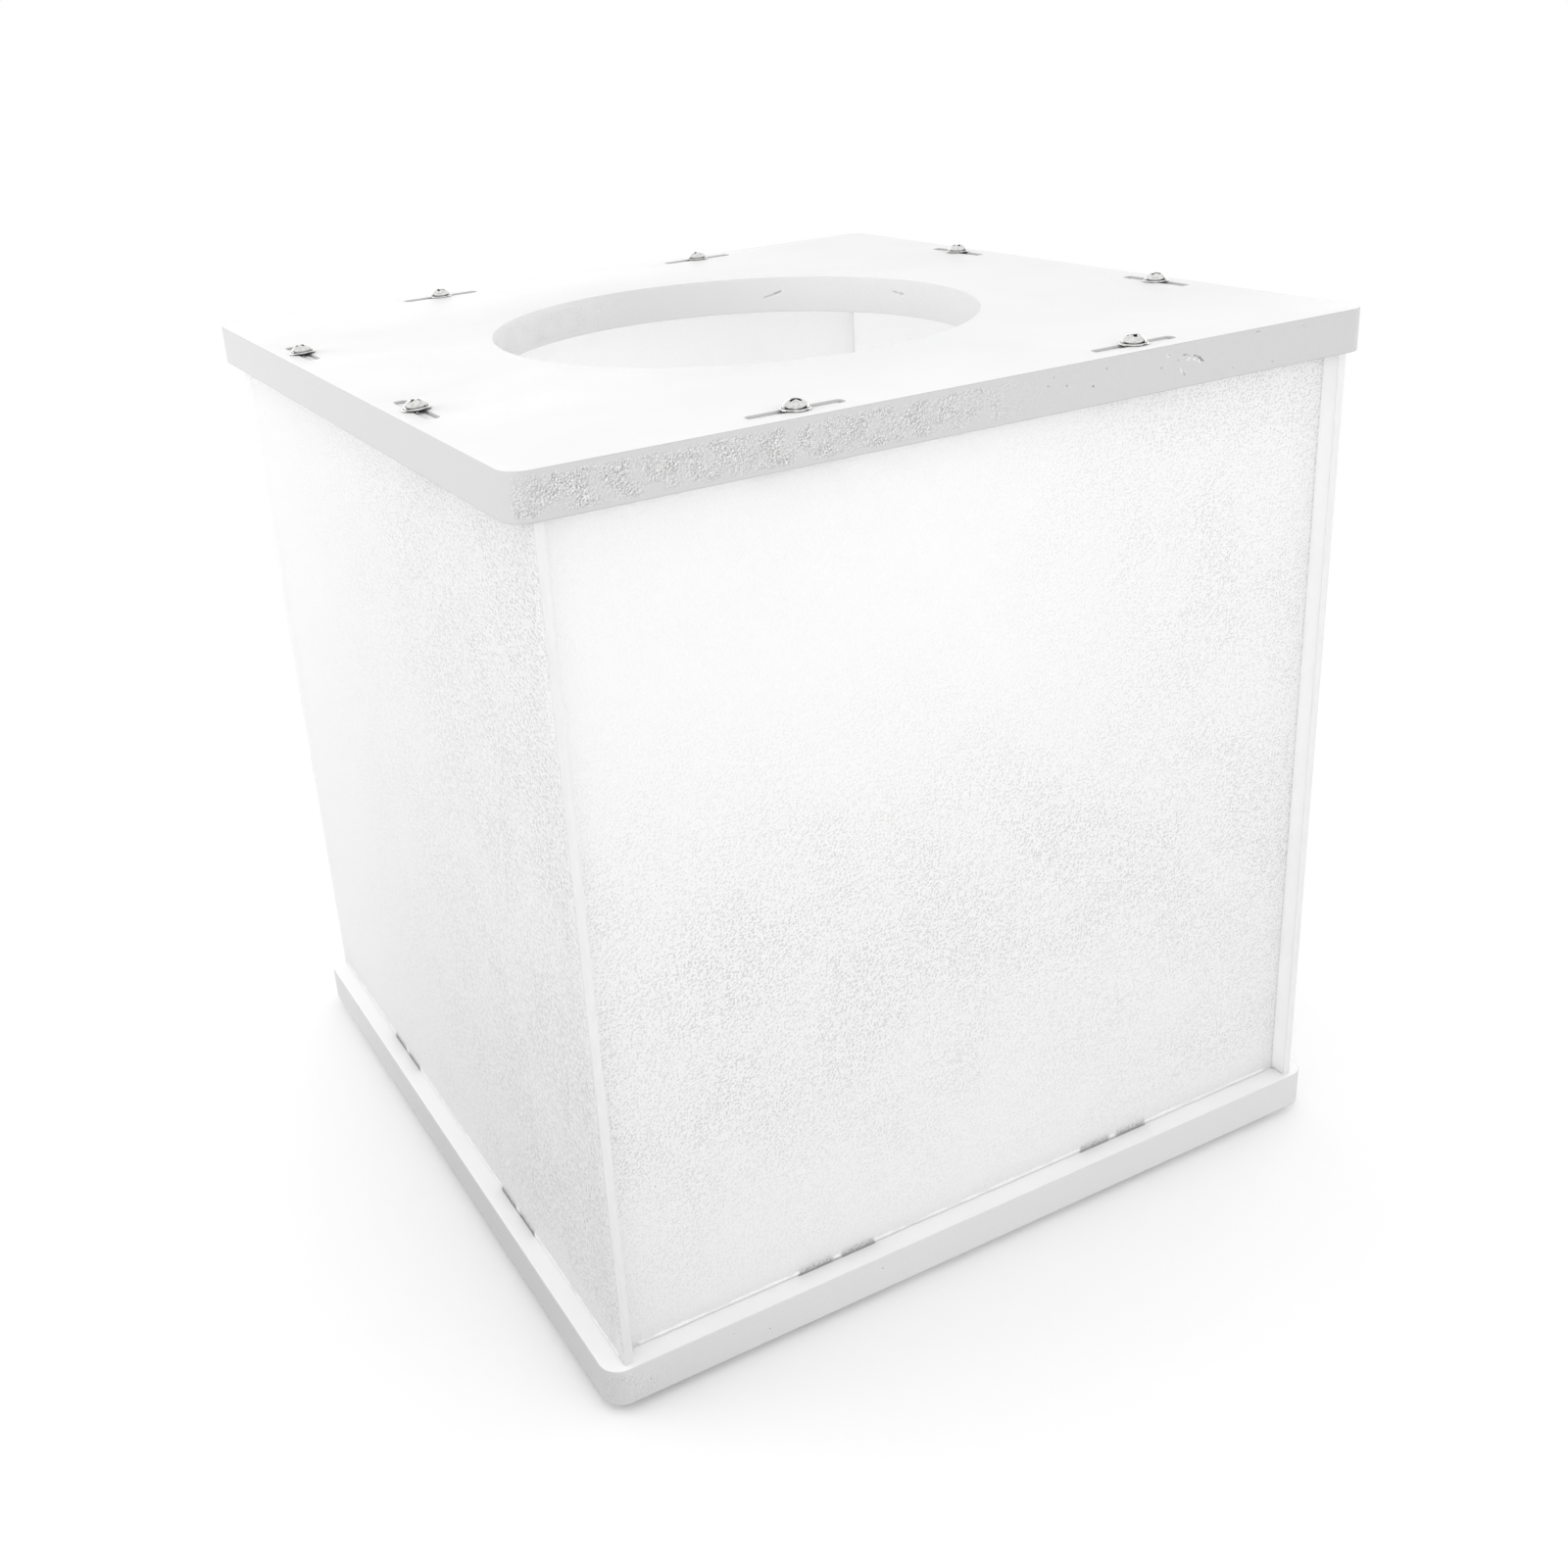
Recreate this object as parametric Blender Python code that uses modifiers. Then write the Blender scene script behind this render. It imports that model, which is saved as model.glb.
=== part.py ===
"""Raffle box: two routed foam boards held apart by four frosted panels with tabs and screws.

Metres, +Z up, the front towards -Y. The origin is the middle of the box's footprint,
at the crowns of the screw heads that it stands on.
"""

import math

import bmesh
import bpy

# Boards, cut from foamed plastic sheet
BOARD_WIDTH = 0.260
BOARD_DEPTH = 0.260
BOARD_THICKNESS = 0.012
BOARD_CORNER_RADIUS = 0.0063
HAND_HOLE_RADIUS = 0.075

# Panels, cut from frosted translucent sheet
PANEL_THICKNESS = 0.0028
CLEAR_HEIGHT = 0.241
SIDE_PANEL_INSET = 0.006
SIDE_PANEL_SETBACK = 0.0018
CROSS_PANEL_SETBACK = 0.0067

# Tabs on the panels and slots in the boards
SLOT_SPACING = 0.104
SLOT_LENGTH = 0.0266
SLOT_CORNER_RADIUS = 0.0007
TAB_END_DROP = 0.001

# Screws, driven between the two tabs of a slot
SHANK_RADIUS = 0.0013
POINT_LENGTH = 0.003
POINT_COVER = 0.0015
FLANGE_RADIUS = 0.0039
FLANGE_THICKNESS = 0.0008
DOME_RADIUS = 0.0029
CROWN_RADIUS = 0.0018
HEAD_HEIGHT = 0.0024
RECESS_REACH = 0.0014
RECESS_ARM_WIDTH = 0.0007
RECESS_TIP_SHARE = 0.75
RECESS_DEPTH = 0.0012
RECESS_FOOT_SHARE = 0.5
SCREW_TURN = math.radians(37)

# Fits and working distances
FIT_GAP = 0.0003
CUT_OVERRUN = 0.001
WELD_DISTANCE = 0.00001

# Facets and shading
CORNER_STEPS = 8
HAND_HOLE_STEPS = 96
SLOT_CORNER_STEPS = 3
SCREW_STEPS = 16
DOME_STEPS = 3
SMOOTH_UP_TO = math.radians(35)

# Places that follow from the sizes
BASE_UNDERSIDE = HEAD_HEIGHT + FIT_GAP
BASE_TOP = BASE_UNDERSIDE + BOARD_THICKNESS
LID_UNDERSIDE = BASE_TOP + CLEAR_HEIGHT
MIDDLE_HEIGHT = (BASE_TOP + LID_UNDERSIDE) / 2
SIDE_PANEL_X = BOARD_WIDTH / 2 - SIDE_PANEL_INSET - PANEL_THICKNESS / 2
CROSS_PANEL_Y = BOARD_DEPTH / 2 - CROSS_PANEL_SETBACK - PANEL_THICKNESS / 2
SIDE_PANEL_LENGTH = BOARD_DEPTH - 2 * SIDE_PANEL_SETBACK
CROSS_PANEL_LENGTH = 2 * (SIDE_PANEL_X - PANEL_THICKNESS / 2 - FIT_GAP)
SLOT_WIDTH = PANEL_THICKNESS + 2 * FIT_GAP
TAB_GAP = 2 * (SHANK_RADIUS + FIT_GAP)
TAB_PAIR_LENGTH = SLOT_LENGTH - 2 * SLOT_CORNER_RADIUS
SCREW_REACH = BOARD_THICKNESS - POINT_COVER

# Finishes: linear colour, roughness and metallic value
FOAM_FINISH = ((0.86, 0.86, 0.85, 1.0), 0.6, 0.0)
FROSTED_FINISH = ((0.90, 0.91, 0.91, 1.0), 0.5, 0.0)
ZINC_FINISH = ((0.62, 0.62, 0.60, 1.0), 0.25, 1.0)


def start_empty():
    """Clears the scene of objects."""
    for old in list(bpy.data.objects):
        bpy.data.objects.remove(old, do_unlink=True)


def new_collection(name):
    """Makes a collection in the scene."""
    made = bpy.data.collections.new(name)
    bpy.context.scene.collection.children.link(made)
    return made


def new_material(name, colour, roughness, metallic):
    """Makes a Principled material."""
    made = bpy.data.materials.new(name)
    made.use_nodes = True
    shader = made.node_tree.nodes["Principled BSDF"]
    shader.inputs["Base Color"].default_value = colour
    shader.inputs["Roughness"].default_value = roughness
    shader.inputs["Metallic"].default_value = metallic
    return made


def arc(centre_x, centre_y, radius, first, last, steps):
    """Gives the points along an arc, both ends included."""
    points = []
    for step in range(steps + 1):
        angle = first + (last - first) * step / steps
        points.append((centre_x + radius * math.cos(angle), centre_y + radius * math.sin(angle)))
    return points


def rounded_rectangle(middle_x, middle_y, length_x, length_y, radius, steps):
    """Gives a rectangle with round corners, anticlockwise from its right side."""
    reach_x = length_x / 2 - radius
    reach_y = length_y / 2 - radius
    corners = ((1, 1), (-1, 1), (-1, -1), (1, -1))
    points = []
    for quarter, (side_x, side_y) in enumerate(corners):
        first = quarter * math.pi / 2
        centre_x = middle_x + side_x * reach_x
        centre_y = middle_y + side_y * reach_y
        points += arc(centre_x, centre_y, radius, first, first + math.pi / 2, steps)
    return points


def slot_places():
    """Gives each slot's name, its middle and the way it runs."""
    half = SLOT_SPACING / 2
    return (
        ("front_left", -half, -CROSS_PANEL_Y, "X"),
        ("front_right", half, -CROSS_PANEL_Y, "X"),
        ("right_front", SIDE_PANEL_X, -half, "Y"),
        ("right_back", SIDE_PANEL_X, half, "Y"),
        ("back_right", half, CROSS_PANEL_Y, "X"),
        ("back_left", -half, CROSS_PANEL_Y, "X"),
        ("left_back", -SIDE_PANEL_X, half, "Y"),
        ("left_front", -SIDE_PANEL_X, -half, "Y"),
    )


def slot_outline(x, y, way):
    """Gives the outline of one slot."""
    length_x, length_y = SLOT_LENGTH, SLOT_WIDTH
    if way == "Y":
        length_x, length_y = SLOT_WIDTH, SLOT_LENGTH
    return rounded_rectangle(x, y, length_x, length_y, SLOT_CORNER_RADIUS, SLOT_CORNER_STEPS)


def board_outlines():
    """Gives a board's edge and its eight slots."""
    edge = rounded_rectangle(0, 0, BOARD_WIDTH, BOARD_DEPTH, BOARD_CORNER_RADIUS, CORNER_STEPS)
    return [edge] + [slot_outline(x, y, way) for name, x, y, way in slot_places()]


def tabbed_edge(length, height):
    """Gives a panel's upper edge from right to left, with the two tabs at each slot."""
    tab_top = height + BOARD_THICKNESS + FIT_GAP - TAB_END_DROP
    points = [(length / 2, height)]
    for middle in (SLOT_SPACING / 2, -SLOT_SPACING / 2):
        for right, left in ((TAB_PAIR_LENGTH / 2, TAB_GAP / 2), (-TAB_GAP / 2, -TAB_PAIR_LENGTH / 2)):
            points += [(middle + right, height), (middle + right, tab_top)]
            points += [(middle + left, tab_top), (middle + left, height)]
    points.append((-length / 2, height))
    return points


def panel_outline(length):
    """Gives a panel's outline about its middle, with tabs along its top and bottom."""
    upper = tabbed_edge(length, CLEAR_HEIGHT / 2 - FIT_GAP)
    return upper + [(-x, -y) for x, y in upper]


def flat_piece(name, outlines, thickness, collection):
    """Makes a flat piece of this thickness from its outline and the outlines of its holes."""
    curve = bpy.data.curves.new(name, "CURVE")
    curve.dimensions = "2D"
    curve.fill_mode = "BOTH"
    curve.extrude = thickness / 2
    for outline in outlines:
        spline = curve.splines.new("POLY")
        spline.points.add(len(outline) - 1)
        spline.use_cyclic_u = True
        for point, (x, y) in zip(spline.points, outline):
            point.co = (x, y, 0, 1)
    drawn = bpy.data.objects.new(name + "_outline", curve)
    collection.objects.link(drawn)
    view = bpy.context.evaluated_depsgraph_get()
    mesh = bpy.data.meshes.new_from_object(drawn.evaluated_get(view))
    mesh.name = name
    weld(mesh)
    piece = bpy.data.objects.new(name, mesh)
    collection.objects.link(piece)
    piece.matrix_world = drawn.matrix_world
    bpy.data.objects.remove(drawn, do_unlink=True)
    return piece


def weld(mesh):
    """Joins loose caps to their walls and turns all faces outwards."""
    work = bmesh.new()
    work.from_mesh(mesh)
    bmesh.ops.remove_doubles(work, verts=work.verts, dist=WELD_DISTANCE)
    bmesh.ops.recalc_face_normals(work, faces=work.faces)
    work.to_mesh(mesh)
    work.free()


def screw_profile():
    """Gives the screw's half section, from the crown's middle down its outer side to the tip."""
    points = [(0, HEAD_HEIGHT)]
    for step in range(DOME_STEPS + 1):
        angle = step / DOME_STEPS * math.pi / 2
        radius = CROWN_RADIUS + (DOME_RADIUS - CROWN_RADIUS) * math.sin(angle)
        height = FLANGE_THICKNESS + (HEAD_HEIGHT - FLANGE_THICKNESS) * math.cos(angle)
        points.append((radius, height))
    points.append((FLANGE_RADIUS, FLANGE_THICKNESS / 2))
    points.append((FLANGE_RADIUS, 0))
    points.append((SHANK_RADIUS, 0))
    points.append((SHANK_RADIUS, POINT_LENGTH - SCREW_REACH))
    points.append((0, -SCREW_REACH))
    return points


def recess_outline():
    """Gives the outline of the cross recess."""
    root = RECESS_ARM_WIDTH / 2
    tip = root * RECESS_TIP_SHARE
    arm = [(RECESS_REACH, -tip), (RECESS_REACH, tip), (root, root)]
    points = []
    for quarter in range(4):
        turn = quarter * math.pi / 2
        for x, y in arm:
            turned_x = x * math.cos(turn) - y * math.sin(turn)
            turned_y = x * math.sin(turn) + y * math.cos(turn)
            points.append((turned_x, turned_y))
    return points


def recess_cutter(collection):
    """Makes the tapered cross that is cut into a screw's head."""
    height = RECESS_DEPTH + CUT_OVERRUN
    cutter = flat_piece("recess_cutter", [recess_outline()], height, collection)
    for vertex in cutter.data.vertices:
        if vertex.co.z < 0:
            vertex.co.x *= RECESS_FOOT_SHARE
            vertex.co.y *= RECESS_FOOT_SHARE
        vertex.co.z += HEAD_HEIGHT - RECESS_DEPTH + height / 2
    cutter.hide_render = True
    cutter.display_type = "WIRE"
    return cutter


def screw_mesh(cutters):
    """Turns a screw about +Z, seat at zero and head up, and cuts its recess."""
    profile = screw_profile()
    outline = bpy.data.meshes.new("screw_section")
    edges = [(step, step + 1) for step in range(len(profile) - 1)]
    outline.from_pydata([(radius, 0, height) for radius, height in profile], edges, [])
    master = bpy.data.objects.new("screw_section", outline)
    cutters.objects.link(master)
    turned = master.modifiers.new("Turned", "SCREW")
    turned.axis = "Z"
    turned.steps = SCREW_STEPS
    turned.render_steps = SCREW_STEPS
    turned.use_merge_vertices = True
    turned.merge_threshold = WELD_DISTANCE
    cut = master.modifiers.new("Recess", "BOOLEAN")
    cut.operation = "DIFFERENCE"
    cut.solver = "EXACT"
    cut.object = recess_cutter(cutters)
    view = bpy.context.evaluated_depsgraph_get()
    mesh = bpy.data.meshes.new_from_object(master.evaluated_get(view))
    mesh.name = "screw"
    mesh.shade_smooth()
    mesh.set_sharp_from_angle(angle=SMOOTH_UP_TO)
    bpy.data.objects.remove(master, do_unlink=True)
    return mesh


def make_boards(collection, material):
    """Makes the base and the lid, which has the hand hole as well."""
    base = flat_piece("base_board", board_outlines(), BOARD_THICKNESS, collection)
    base.location.z = (BASE_UNDERSIDE + BASE_TOP) / 2
    hole = arc(0, 0, HAND_HOLE_RADIUS, 0, 2 * math.pi, HAND_HOLE_STEPS)[:-1]
    lid = flat_piece("lid_board", board_outlines() + [hole], BOARD_THICKNESS, collection)
    for board in (base, lid):
        board.data.materials.append(material)
    return base, lid


def make_panels(collection, material):
    """Makes the four panels that stand between the boards."""
    places = (
        ("front_panel", CROSS_PANEL_LENGTH, 0, -CROSS_PANEL_Y, 0),
        ("back_panel", CROSS_PANEL_LENGTH, 0, CROSS_PANEL_Y, 0),
        ("left_panel", SIDE_PANEL_LENGTH, -SIDE_PANEL_X, 0, math.pi / 2),
        ("right_panel", SIDE_PANEL_LENGTH, SIDE_PANEL_X, 0, math.pi / 2),
    )
    for name, length, x, y, turn in places:
        panel = flat_piece(name, [panel_outline(length)], PANEL_THICKNESS, collection)
        panel.location = (x, y, MIDDLE_HEIGHT)
        panel.rotation_euler = (math.pi / 2, 0, turn)
        panel.data.materials.append(material)


def make_screws(collection, cutters, material, lid_slide):
    """Drives a screw into each slot, from above into the lid and from below into the base."""
    shared = screw_mesh(cutters)
    shared.materials.clear()
    shared.materials.append(material)
    for index, (place, x, y, way) in enumerate(slot_places()):
        upper = bpy.data.objects.new("lid_screw_" + place, shared)
        collection.objects.link(upper)
        upper.parent = lid_slide
        upper.location = (x, y, BOARD_THICKNESS + FIT_GAP)
        upper.rotation_euler = (0, 0, index * SCREW_TURN)
        lower = bpy.data.objects.new("base_screw_" + place, shared)
        collection.objects.link(lower)
        lower.location = (x, y, BASE_UNDERSIDE - FIT_GAP)
        lower.rotation_euler = (math.pi, 0, index * SCREW_TURN)


def main():
    """Builds the box."""
    start_empty()
    parts = new_collection("raffle_box")
    cutters = new_collection("cutters")
    foam = new_material("foamed_board", *FOAM_FINISH)
    frosted = new_material("frosted_sheet", *FROSTED_FINISH)
    zinc = new_material("bright_zinc", *ZINC_FINISH)
    lid_slide = bpy.data.objects.new("lid_slide", None)
    parts.objects.link(lid_slide)
    lid_slide.location = (0, 0, LID_UNDERSIDE)
    base, lid = make_boards(parts, foam)
    lid.parent = lid_slide
    lid.location = (0, 0, BOARD_THICKNESS / 2)
    make_panels(parts, frosted)
    make_screws(parts, cutters, zinc, lid_slide)


main()
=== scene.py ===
"""Raffle box of two foam boards and four frosted panels, finished and lit for a studio picture.

Metres, in the frame of the construction model: +Z up, the front towards -Y.
"""

import math

import bmesh
import bpy
from mathutils import Matrix, Vector, noise


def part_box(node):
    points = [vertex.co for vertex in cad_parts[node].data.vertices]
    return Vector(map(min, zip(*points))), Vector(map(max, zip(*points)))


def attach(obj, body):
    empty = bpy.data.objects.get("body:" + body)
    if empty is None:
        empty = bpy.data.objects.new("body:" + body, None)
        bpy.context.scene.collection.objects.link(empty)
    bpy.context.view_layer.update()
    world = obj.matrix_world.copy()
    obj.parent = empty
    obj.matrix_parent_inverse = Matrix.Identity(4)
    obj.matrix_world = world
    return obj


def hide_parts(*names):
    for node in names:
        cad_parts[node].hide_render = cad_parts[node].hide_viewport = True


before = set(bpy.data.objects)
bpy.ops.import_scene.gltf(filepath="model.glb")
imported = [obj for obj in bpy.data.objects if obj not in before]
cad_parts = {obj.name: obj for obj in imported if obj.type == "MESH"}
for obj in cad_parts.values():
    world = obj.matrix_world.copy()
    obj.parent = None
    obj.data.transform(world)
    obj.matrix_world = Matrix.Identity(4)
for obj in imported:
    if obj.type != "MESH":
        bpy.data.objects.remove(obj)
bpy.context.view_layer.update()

# Places read from the construction model
BASE_LOW, BASE_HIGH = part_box("base_board")
LID_LOW, LID_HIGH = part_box("lid_board")
FRONT_LOW, FRONT_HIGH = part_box("front_panel")
PANEL_END = FRONT_HIGH.x
FRONT_OUTER_FACE = abs(FRONT_LOW.y)
FRONT_INNER_FACE = abs(FRONT_HIGH.y)

# Boards; a slot is given by its width and its corners' radius
BOARD_CORNER_RADIUS = 0.0063
HAND_HOLE_RADIUS = 0.075
SLOT_LENGTH = 0.0266
LID_SLOT = (0.0034, 0.0012)
BASE_SLOT = (0.0029, 0.0003)
BOARD_EASE = 0.00025
SLOT_EASE = 0.0003
EASE_ROWS = 3
SMOOTH_UP_TO = math.radians(30)

# How closely the boards' walls are modelled, finer where they are torn or marked
WALL_STEP = 0.0009
TORN_STEP = 0.0004
FINE_STEP = 0.00028
CORNER_STEP = 0.0003
WALL_ROWS = 30
SLOT_ROWS = 6
TORN_ENOUGH = 0.15
FINE_REACH = 0.0022

# Torn foam: core is 0 at the sheet's two films and 1 at its middle
WALL_VALUES = ("core", "torn", "tone")
TOP_FILM_CORE = 0.03
SOUND_CORE = 0.12
CORE_FADE = 0.2
TORN_CLOUD_SIZE = 0.005
TORN_CLOUD_MEAN = 0.6
TORN_SIZE = 0.0009
TORN_FINER = 2.3
TEAR_MEAN = 0.5
TEAR_COARSE = 0.5
TEAR_FINE = 0.3
TORN_DEPTH = 0.0001
CRUMB_CLUMP = 0.0015
CRUMB_DEPTH = 0.000015

# Marks: how far they reach, and the pale rim round a dark one, in the mark's own radii
MARK_REACH = 0.005
MARK_SPREAD = 3
RIM_TONE = 0.2
RIM_PLACE = 2.1
RIM_WIDTH = 0.6

# Painted light on the cut edges, paler or darker by the way each one faces: at the front and back and then at
# the sides
LID_PAINTED_LIGHT = (0.0, 0.34)
BASE_PAINTED_LIGHT = (0.40, 0.36)
HOLE_PAINTED_LIGHT = (0.53, 0.63)
SIDE_REACH = 1.4

# Foam's looks: tones are greys from 0 to 1, clouds and grain have a size and a detail
SKIN_CLOUD = (0.03, 3.0)
SKIN_GRAIN = (0.0012, 4.0)
SKIN_TONES = (0.845, 0.86)
# Painted light: the boards' faces inside the box are painted paler to brighten the box's inside
INSIDE_PAINTED_LIGHT_TONE = 0.96
SKIN_ROUGHNESS = (0.42, 0.55)
SKIN_BUMP = 0.00001
CUT_TONES = (0.545, 0.565)
CUT_ROUGHNESS = (0.7, 0.9)
CUT_BUMP = (0.0005, 0.9)
CRUMB_SIZE = 0.00046
# Torn grain: painted shade on its far slopes and a painted highlight on its near ones, as if lit from one
# side
CRUMB_LIGHT = (0.00015, 0.00011, -0.00015)
CRUMB_SLOPE = 0.22
CRUMB_SHARE = 0.95
CRUMB_SHADE_AND_HIGHLIGHT = (0.30, 0.84)
SOUND_ROUGHNESS = 0.04
# A darker line along the cut edges' films, strongest at the lower one: partly the skin's edge, partly painted
# shade
FILM_EDGE = 0.05
FILM_SHADE_SHARE = 0.3
FILM_SHADE_TONE = 0.40
# Pale tones carry the cut edges' painted light as well as pale marks
PAINTED_LIGHT_AND_PALE_MARK = (0.85, 0.92)
# Dark tones are painted shade in the marks' pits
PIT_SHADE = (0.8, 0.20)

# Panels
TAB_GAP = 0.0032
TAB_PAIR_LENGTH = 0.0252
TAB_RISE = 0.0004
SHOULDER_GAP = 0.00003
SUNK_DEPTH = 0.0007
SUNK_PLAY = 0.0002
PANEL_EASE = 0.00025
PANEL_EASE_STEPS = 2
FLAT = 0.999

# The burr along a panel's foot
BURR_RADIUS = 0.0008
BURR_PROUD = 0.0003
BURR_STEP = 0.0009
BURR_END_GAP = 0.003
BURR_END_SHRINK = 0.35
BURR_SIDES = 8
BURR_WANDER_SIZE = 0.004
BURR_WANDER_PARTS = (3.1, 7.7, 50)
BURR_WANDER = 0.3
BURR_PROUD_WANDER = 0.5
BURR_LIFT = 1.05
BURR_CLEARANCE = 0.00008

# Sheet's looks
PEBBLE_SIZE = 0.00065
PEBBLE_STRETCH = (1.0, 0.6, 1.0)
PEBBLE_LIGHT = (0.00018, 0.00018, -0.0002)
PEBBLE_SLOPE = 0.13
# The sheet's own tone, then the painted shade on the pebbles' far slopes
PEBBLE_TONE_AND_SHADE = (0.994, 0.74)
PEBBLE_ROUGHNESS = (0.42, 0.6)
PEBBLE_BUMP = 0.0003
PEBBLE_CLOUD = (0.03, 3.0)
FACE_LIGHT_SHARE = 0.6
EDGE_LIGHT_SHARE = 0.2
BURR_LIGHT_SHARE = 0.18
# The inner faces' own tone, then the painted shade on their grain's far slopes
INNER_TONE_AND_SHADE = (0.99, 0.80)
INNER_SLOPE = 0.2
INNER_GRAIN = 0.15
INNER_GRAIN_PAST = 0.05
INNER_ROUGHNESS = (0.35, 0.5)
INNER_BUMP = 0.00005
EDGE_TONES = (0.80, 0.78)
BURR_TONES = (0.99, 0.95)
CUTTER_LINE_SIZE = 0.001
CUTTER_LINE_STRETCH = (1.0, 1.0, 0.15)
SMOOTH_ROUGHNESS = (0.3, 0.42)
CUTTER_LINE_BUMP = 0.00002
# Painted shade over the tabs, fading upwards from the foot
TAB_SHADE_TONE = 0.5
# Painted shadow line over the tabs, just above the base
TAB_SHADOW_LINE_TONE = 0.46
# Painted shade in dots along the front and back panels' ends, at the seams
SEAM_SHADE_TONE = 0.55
SEAM_SHADE_SLOPE = 0.12
# Painted shade, darker towards the panels' foot and more on the side panels
FOOT_PAINTED_SHADE = 0.025
SIDE_PAINTED_SHADE = 0.01
PANEL_SPECK = (-0.1078, -0.1233, 0.0652)
SPECK_TONE = 0.3

# Where the sheet's looks grow or fade: from, to, and the strength at either end
PEBBLES_UPWARDS = (0.0, 0.09, 0.35, 1.0)
PEBBLES_NEAR_TOP = (0.1, 0.2, 1.0, 0.08)
PEBBLES_RIGHTWARDS = (-0.03, 0.1, 0.0, 0.8)
PEBBLES_BACKWARDS = (-0.128, 0.12, 1.05, 0.08)
PEBBLE_PATCHES = (0.38, 0.6, 0.75, 1.1)
PEBBLES_AT_FOOT = (0.004, 0.014, 0.5, 1.0)
TAB_SHADE_UPWARDS = (0.0006, 0.0034, 0.85, 0.0)
TAB_SHADE_ON_GRAIN = (0.1, -0.14, 0.3, 1.0)
TAB_SHADOW_LINE_UPWARDS = (0.0004, 0.0009, 0.6, 0.0)
PAINTED_SHADE_UPWARDS = (0.0, 0.24, 1.0, 0.0)
SEAM_SHADE_FROM_END = (0.0003, 0.0011, 1.0, 0.0)
SEAM_SHADE_ON_GRAIN = (0.1, 0.7, 0.2, 0.55)
SPECK_HALO = (0.0005, 0.0011, 0.8, 0.0)
SPECK_DOT = (0.0001, 0.0004, 0.7, 0.0)
TAB_BLUR_AT_GAP = (-0.0004, 0.0006)
TAB_BLUR_AT_END = 0.001
END_PLAY = 0.0001

# The part of a noise's range that most of it lies in, narrower and wider
NOISE_MIDDLE = (0.35, 0.65)
NOISE_MOST = (0.3, 0.7)

# Screws; the head's section, in radius and height, runs from the crown's middle to the shank
HEAD_HEIGHT = 0.00255
SCREW_REACH = 0.0105
HEAD_STEPS = 48
THREAD_PITCH = 0.0011
THREAD_RADIUS = 0.0013
THREAD_CORE = 0.00098
THREAD_STEPS = 20
THREAD_ROWS = 8
THREAD_SHARPNESS = 3.2
SHANK_START = 0.0002
POINT_LENGTH = 0.003
HEAD_SECTION = (
    (0.0, HEAD_HEIGHT),
    (0.0008, HEAD_HEIGHT - 0.00002),
    (0.0013, HEAD_HEIGHT - 0.00009),
    (0.00175, 0.00231),
    (0.00215, 0.00209),
    (0.00250, 0.00183),
    (0.00280, 0.00156),
    (0.00304, 0.00130),
    (0.00320, 0.00109),
    (0.00330, 0.00090),
    (0.00337, 0.00072),
    (0.00342, 0.00060),
    (0.00352, 0.00055),
    (0.00368, 0.00052),
    (0.00380, 0.00044),
    (0.00388, 0.00033),
    (0.00390, 0.00023),
    (0.00386, 0.00012),
    (0.00374, 0.00003),
    (0.00355, 0.0),
    (THREAD_RADIUS + 0.0002, 0.0),
    (THREAD_RADIUS, -0.0003),
)
DOME_ROOT = 0.00341
DOME_ROOT_WIDTH = 0.00016
CROWN_REACH = 0.0031
FLANGE_TOP = 0.0004
FLANGE_FOOT = (-0.0001, 0.0002)
FLANGE_FOOT_REACH = 0.0033
# Painted shade in the recess, at the dome's root and under the flange
CREASE_SHADE_DEPTH = 0.00018
CREASE_SHADE_SHARE = 0.9

# The cross recess: its size at the crown, and rows going down of its reach, width and depth as shares;
# the cut starts over the crown, at these shares of reach and width and at this height
RECESS_REACH = 0.0021
RECESS_DEPTH = 0.0019
RECESS_ROOT = 0.00062
RECESS_TIP = 0.00042
RECESS_OVER_CROWN = (1.08, 1.1, 0.0006)
RECESS_ROWS = (
    (1.0, 1.0, 0.0),
    (0.96, 0.97, 0.08),
    (0.92, 0.95, 0.16),
    (0.88, 0.92, 0.24),
    (0.83, 0.88, 0.34),
    (0.72, 0.8, 0.5),
    (0.34, 0.55, 1.0),
)

# Zinc's looks
ZINC_COLOURS = ((0.66, 0.66, 0.65, 1), (0.80, 0.80, 0.79, 1))
ZINC_CLOUD_SIZE = 0.0011
ZINC_ROUGHNESS = (0.1, 0.18)
ZINC_BUMP = (0.00001, 0.4)
# Tone of the painted shade in the recess and creases
CREASE_SHADE_TONE = 0.02

# How each lid screw happens to stand, in degrees: its turn, and how far it leans about X and Y
LID_STANDS = {
    "front_left": (20, 0, 0),
    "front_right": (62, 0, 0),
    "right_front": (10, 1, 0),
    "right_back": (75, -1, 1),
    "back_right": (30, 0, 1),
    "back_left": (52, 1, 0),
    "left_back": (15, -4, -1.5),
    "left_front": (40, -4.5, -2),
}
BASE_TURN_STEP = 0.64
SEAT_PLAY = math.radians(0.8)
SEAT_GAP = 0.00002
LEAN_LIFT = 0.00005
LID_SEED = 3
BASE_SEED = 8
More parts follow.
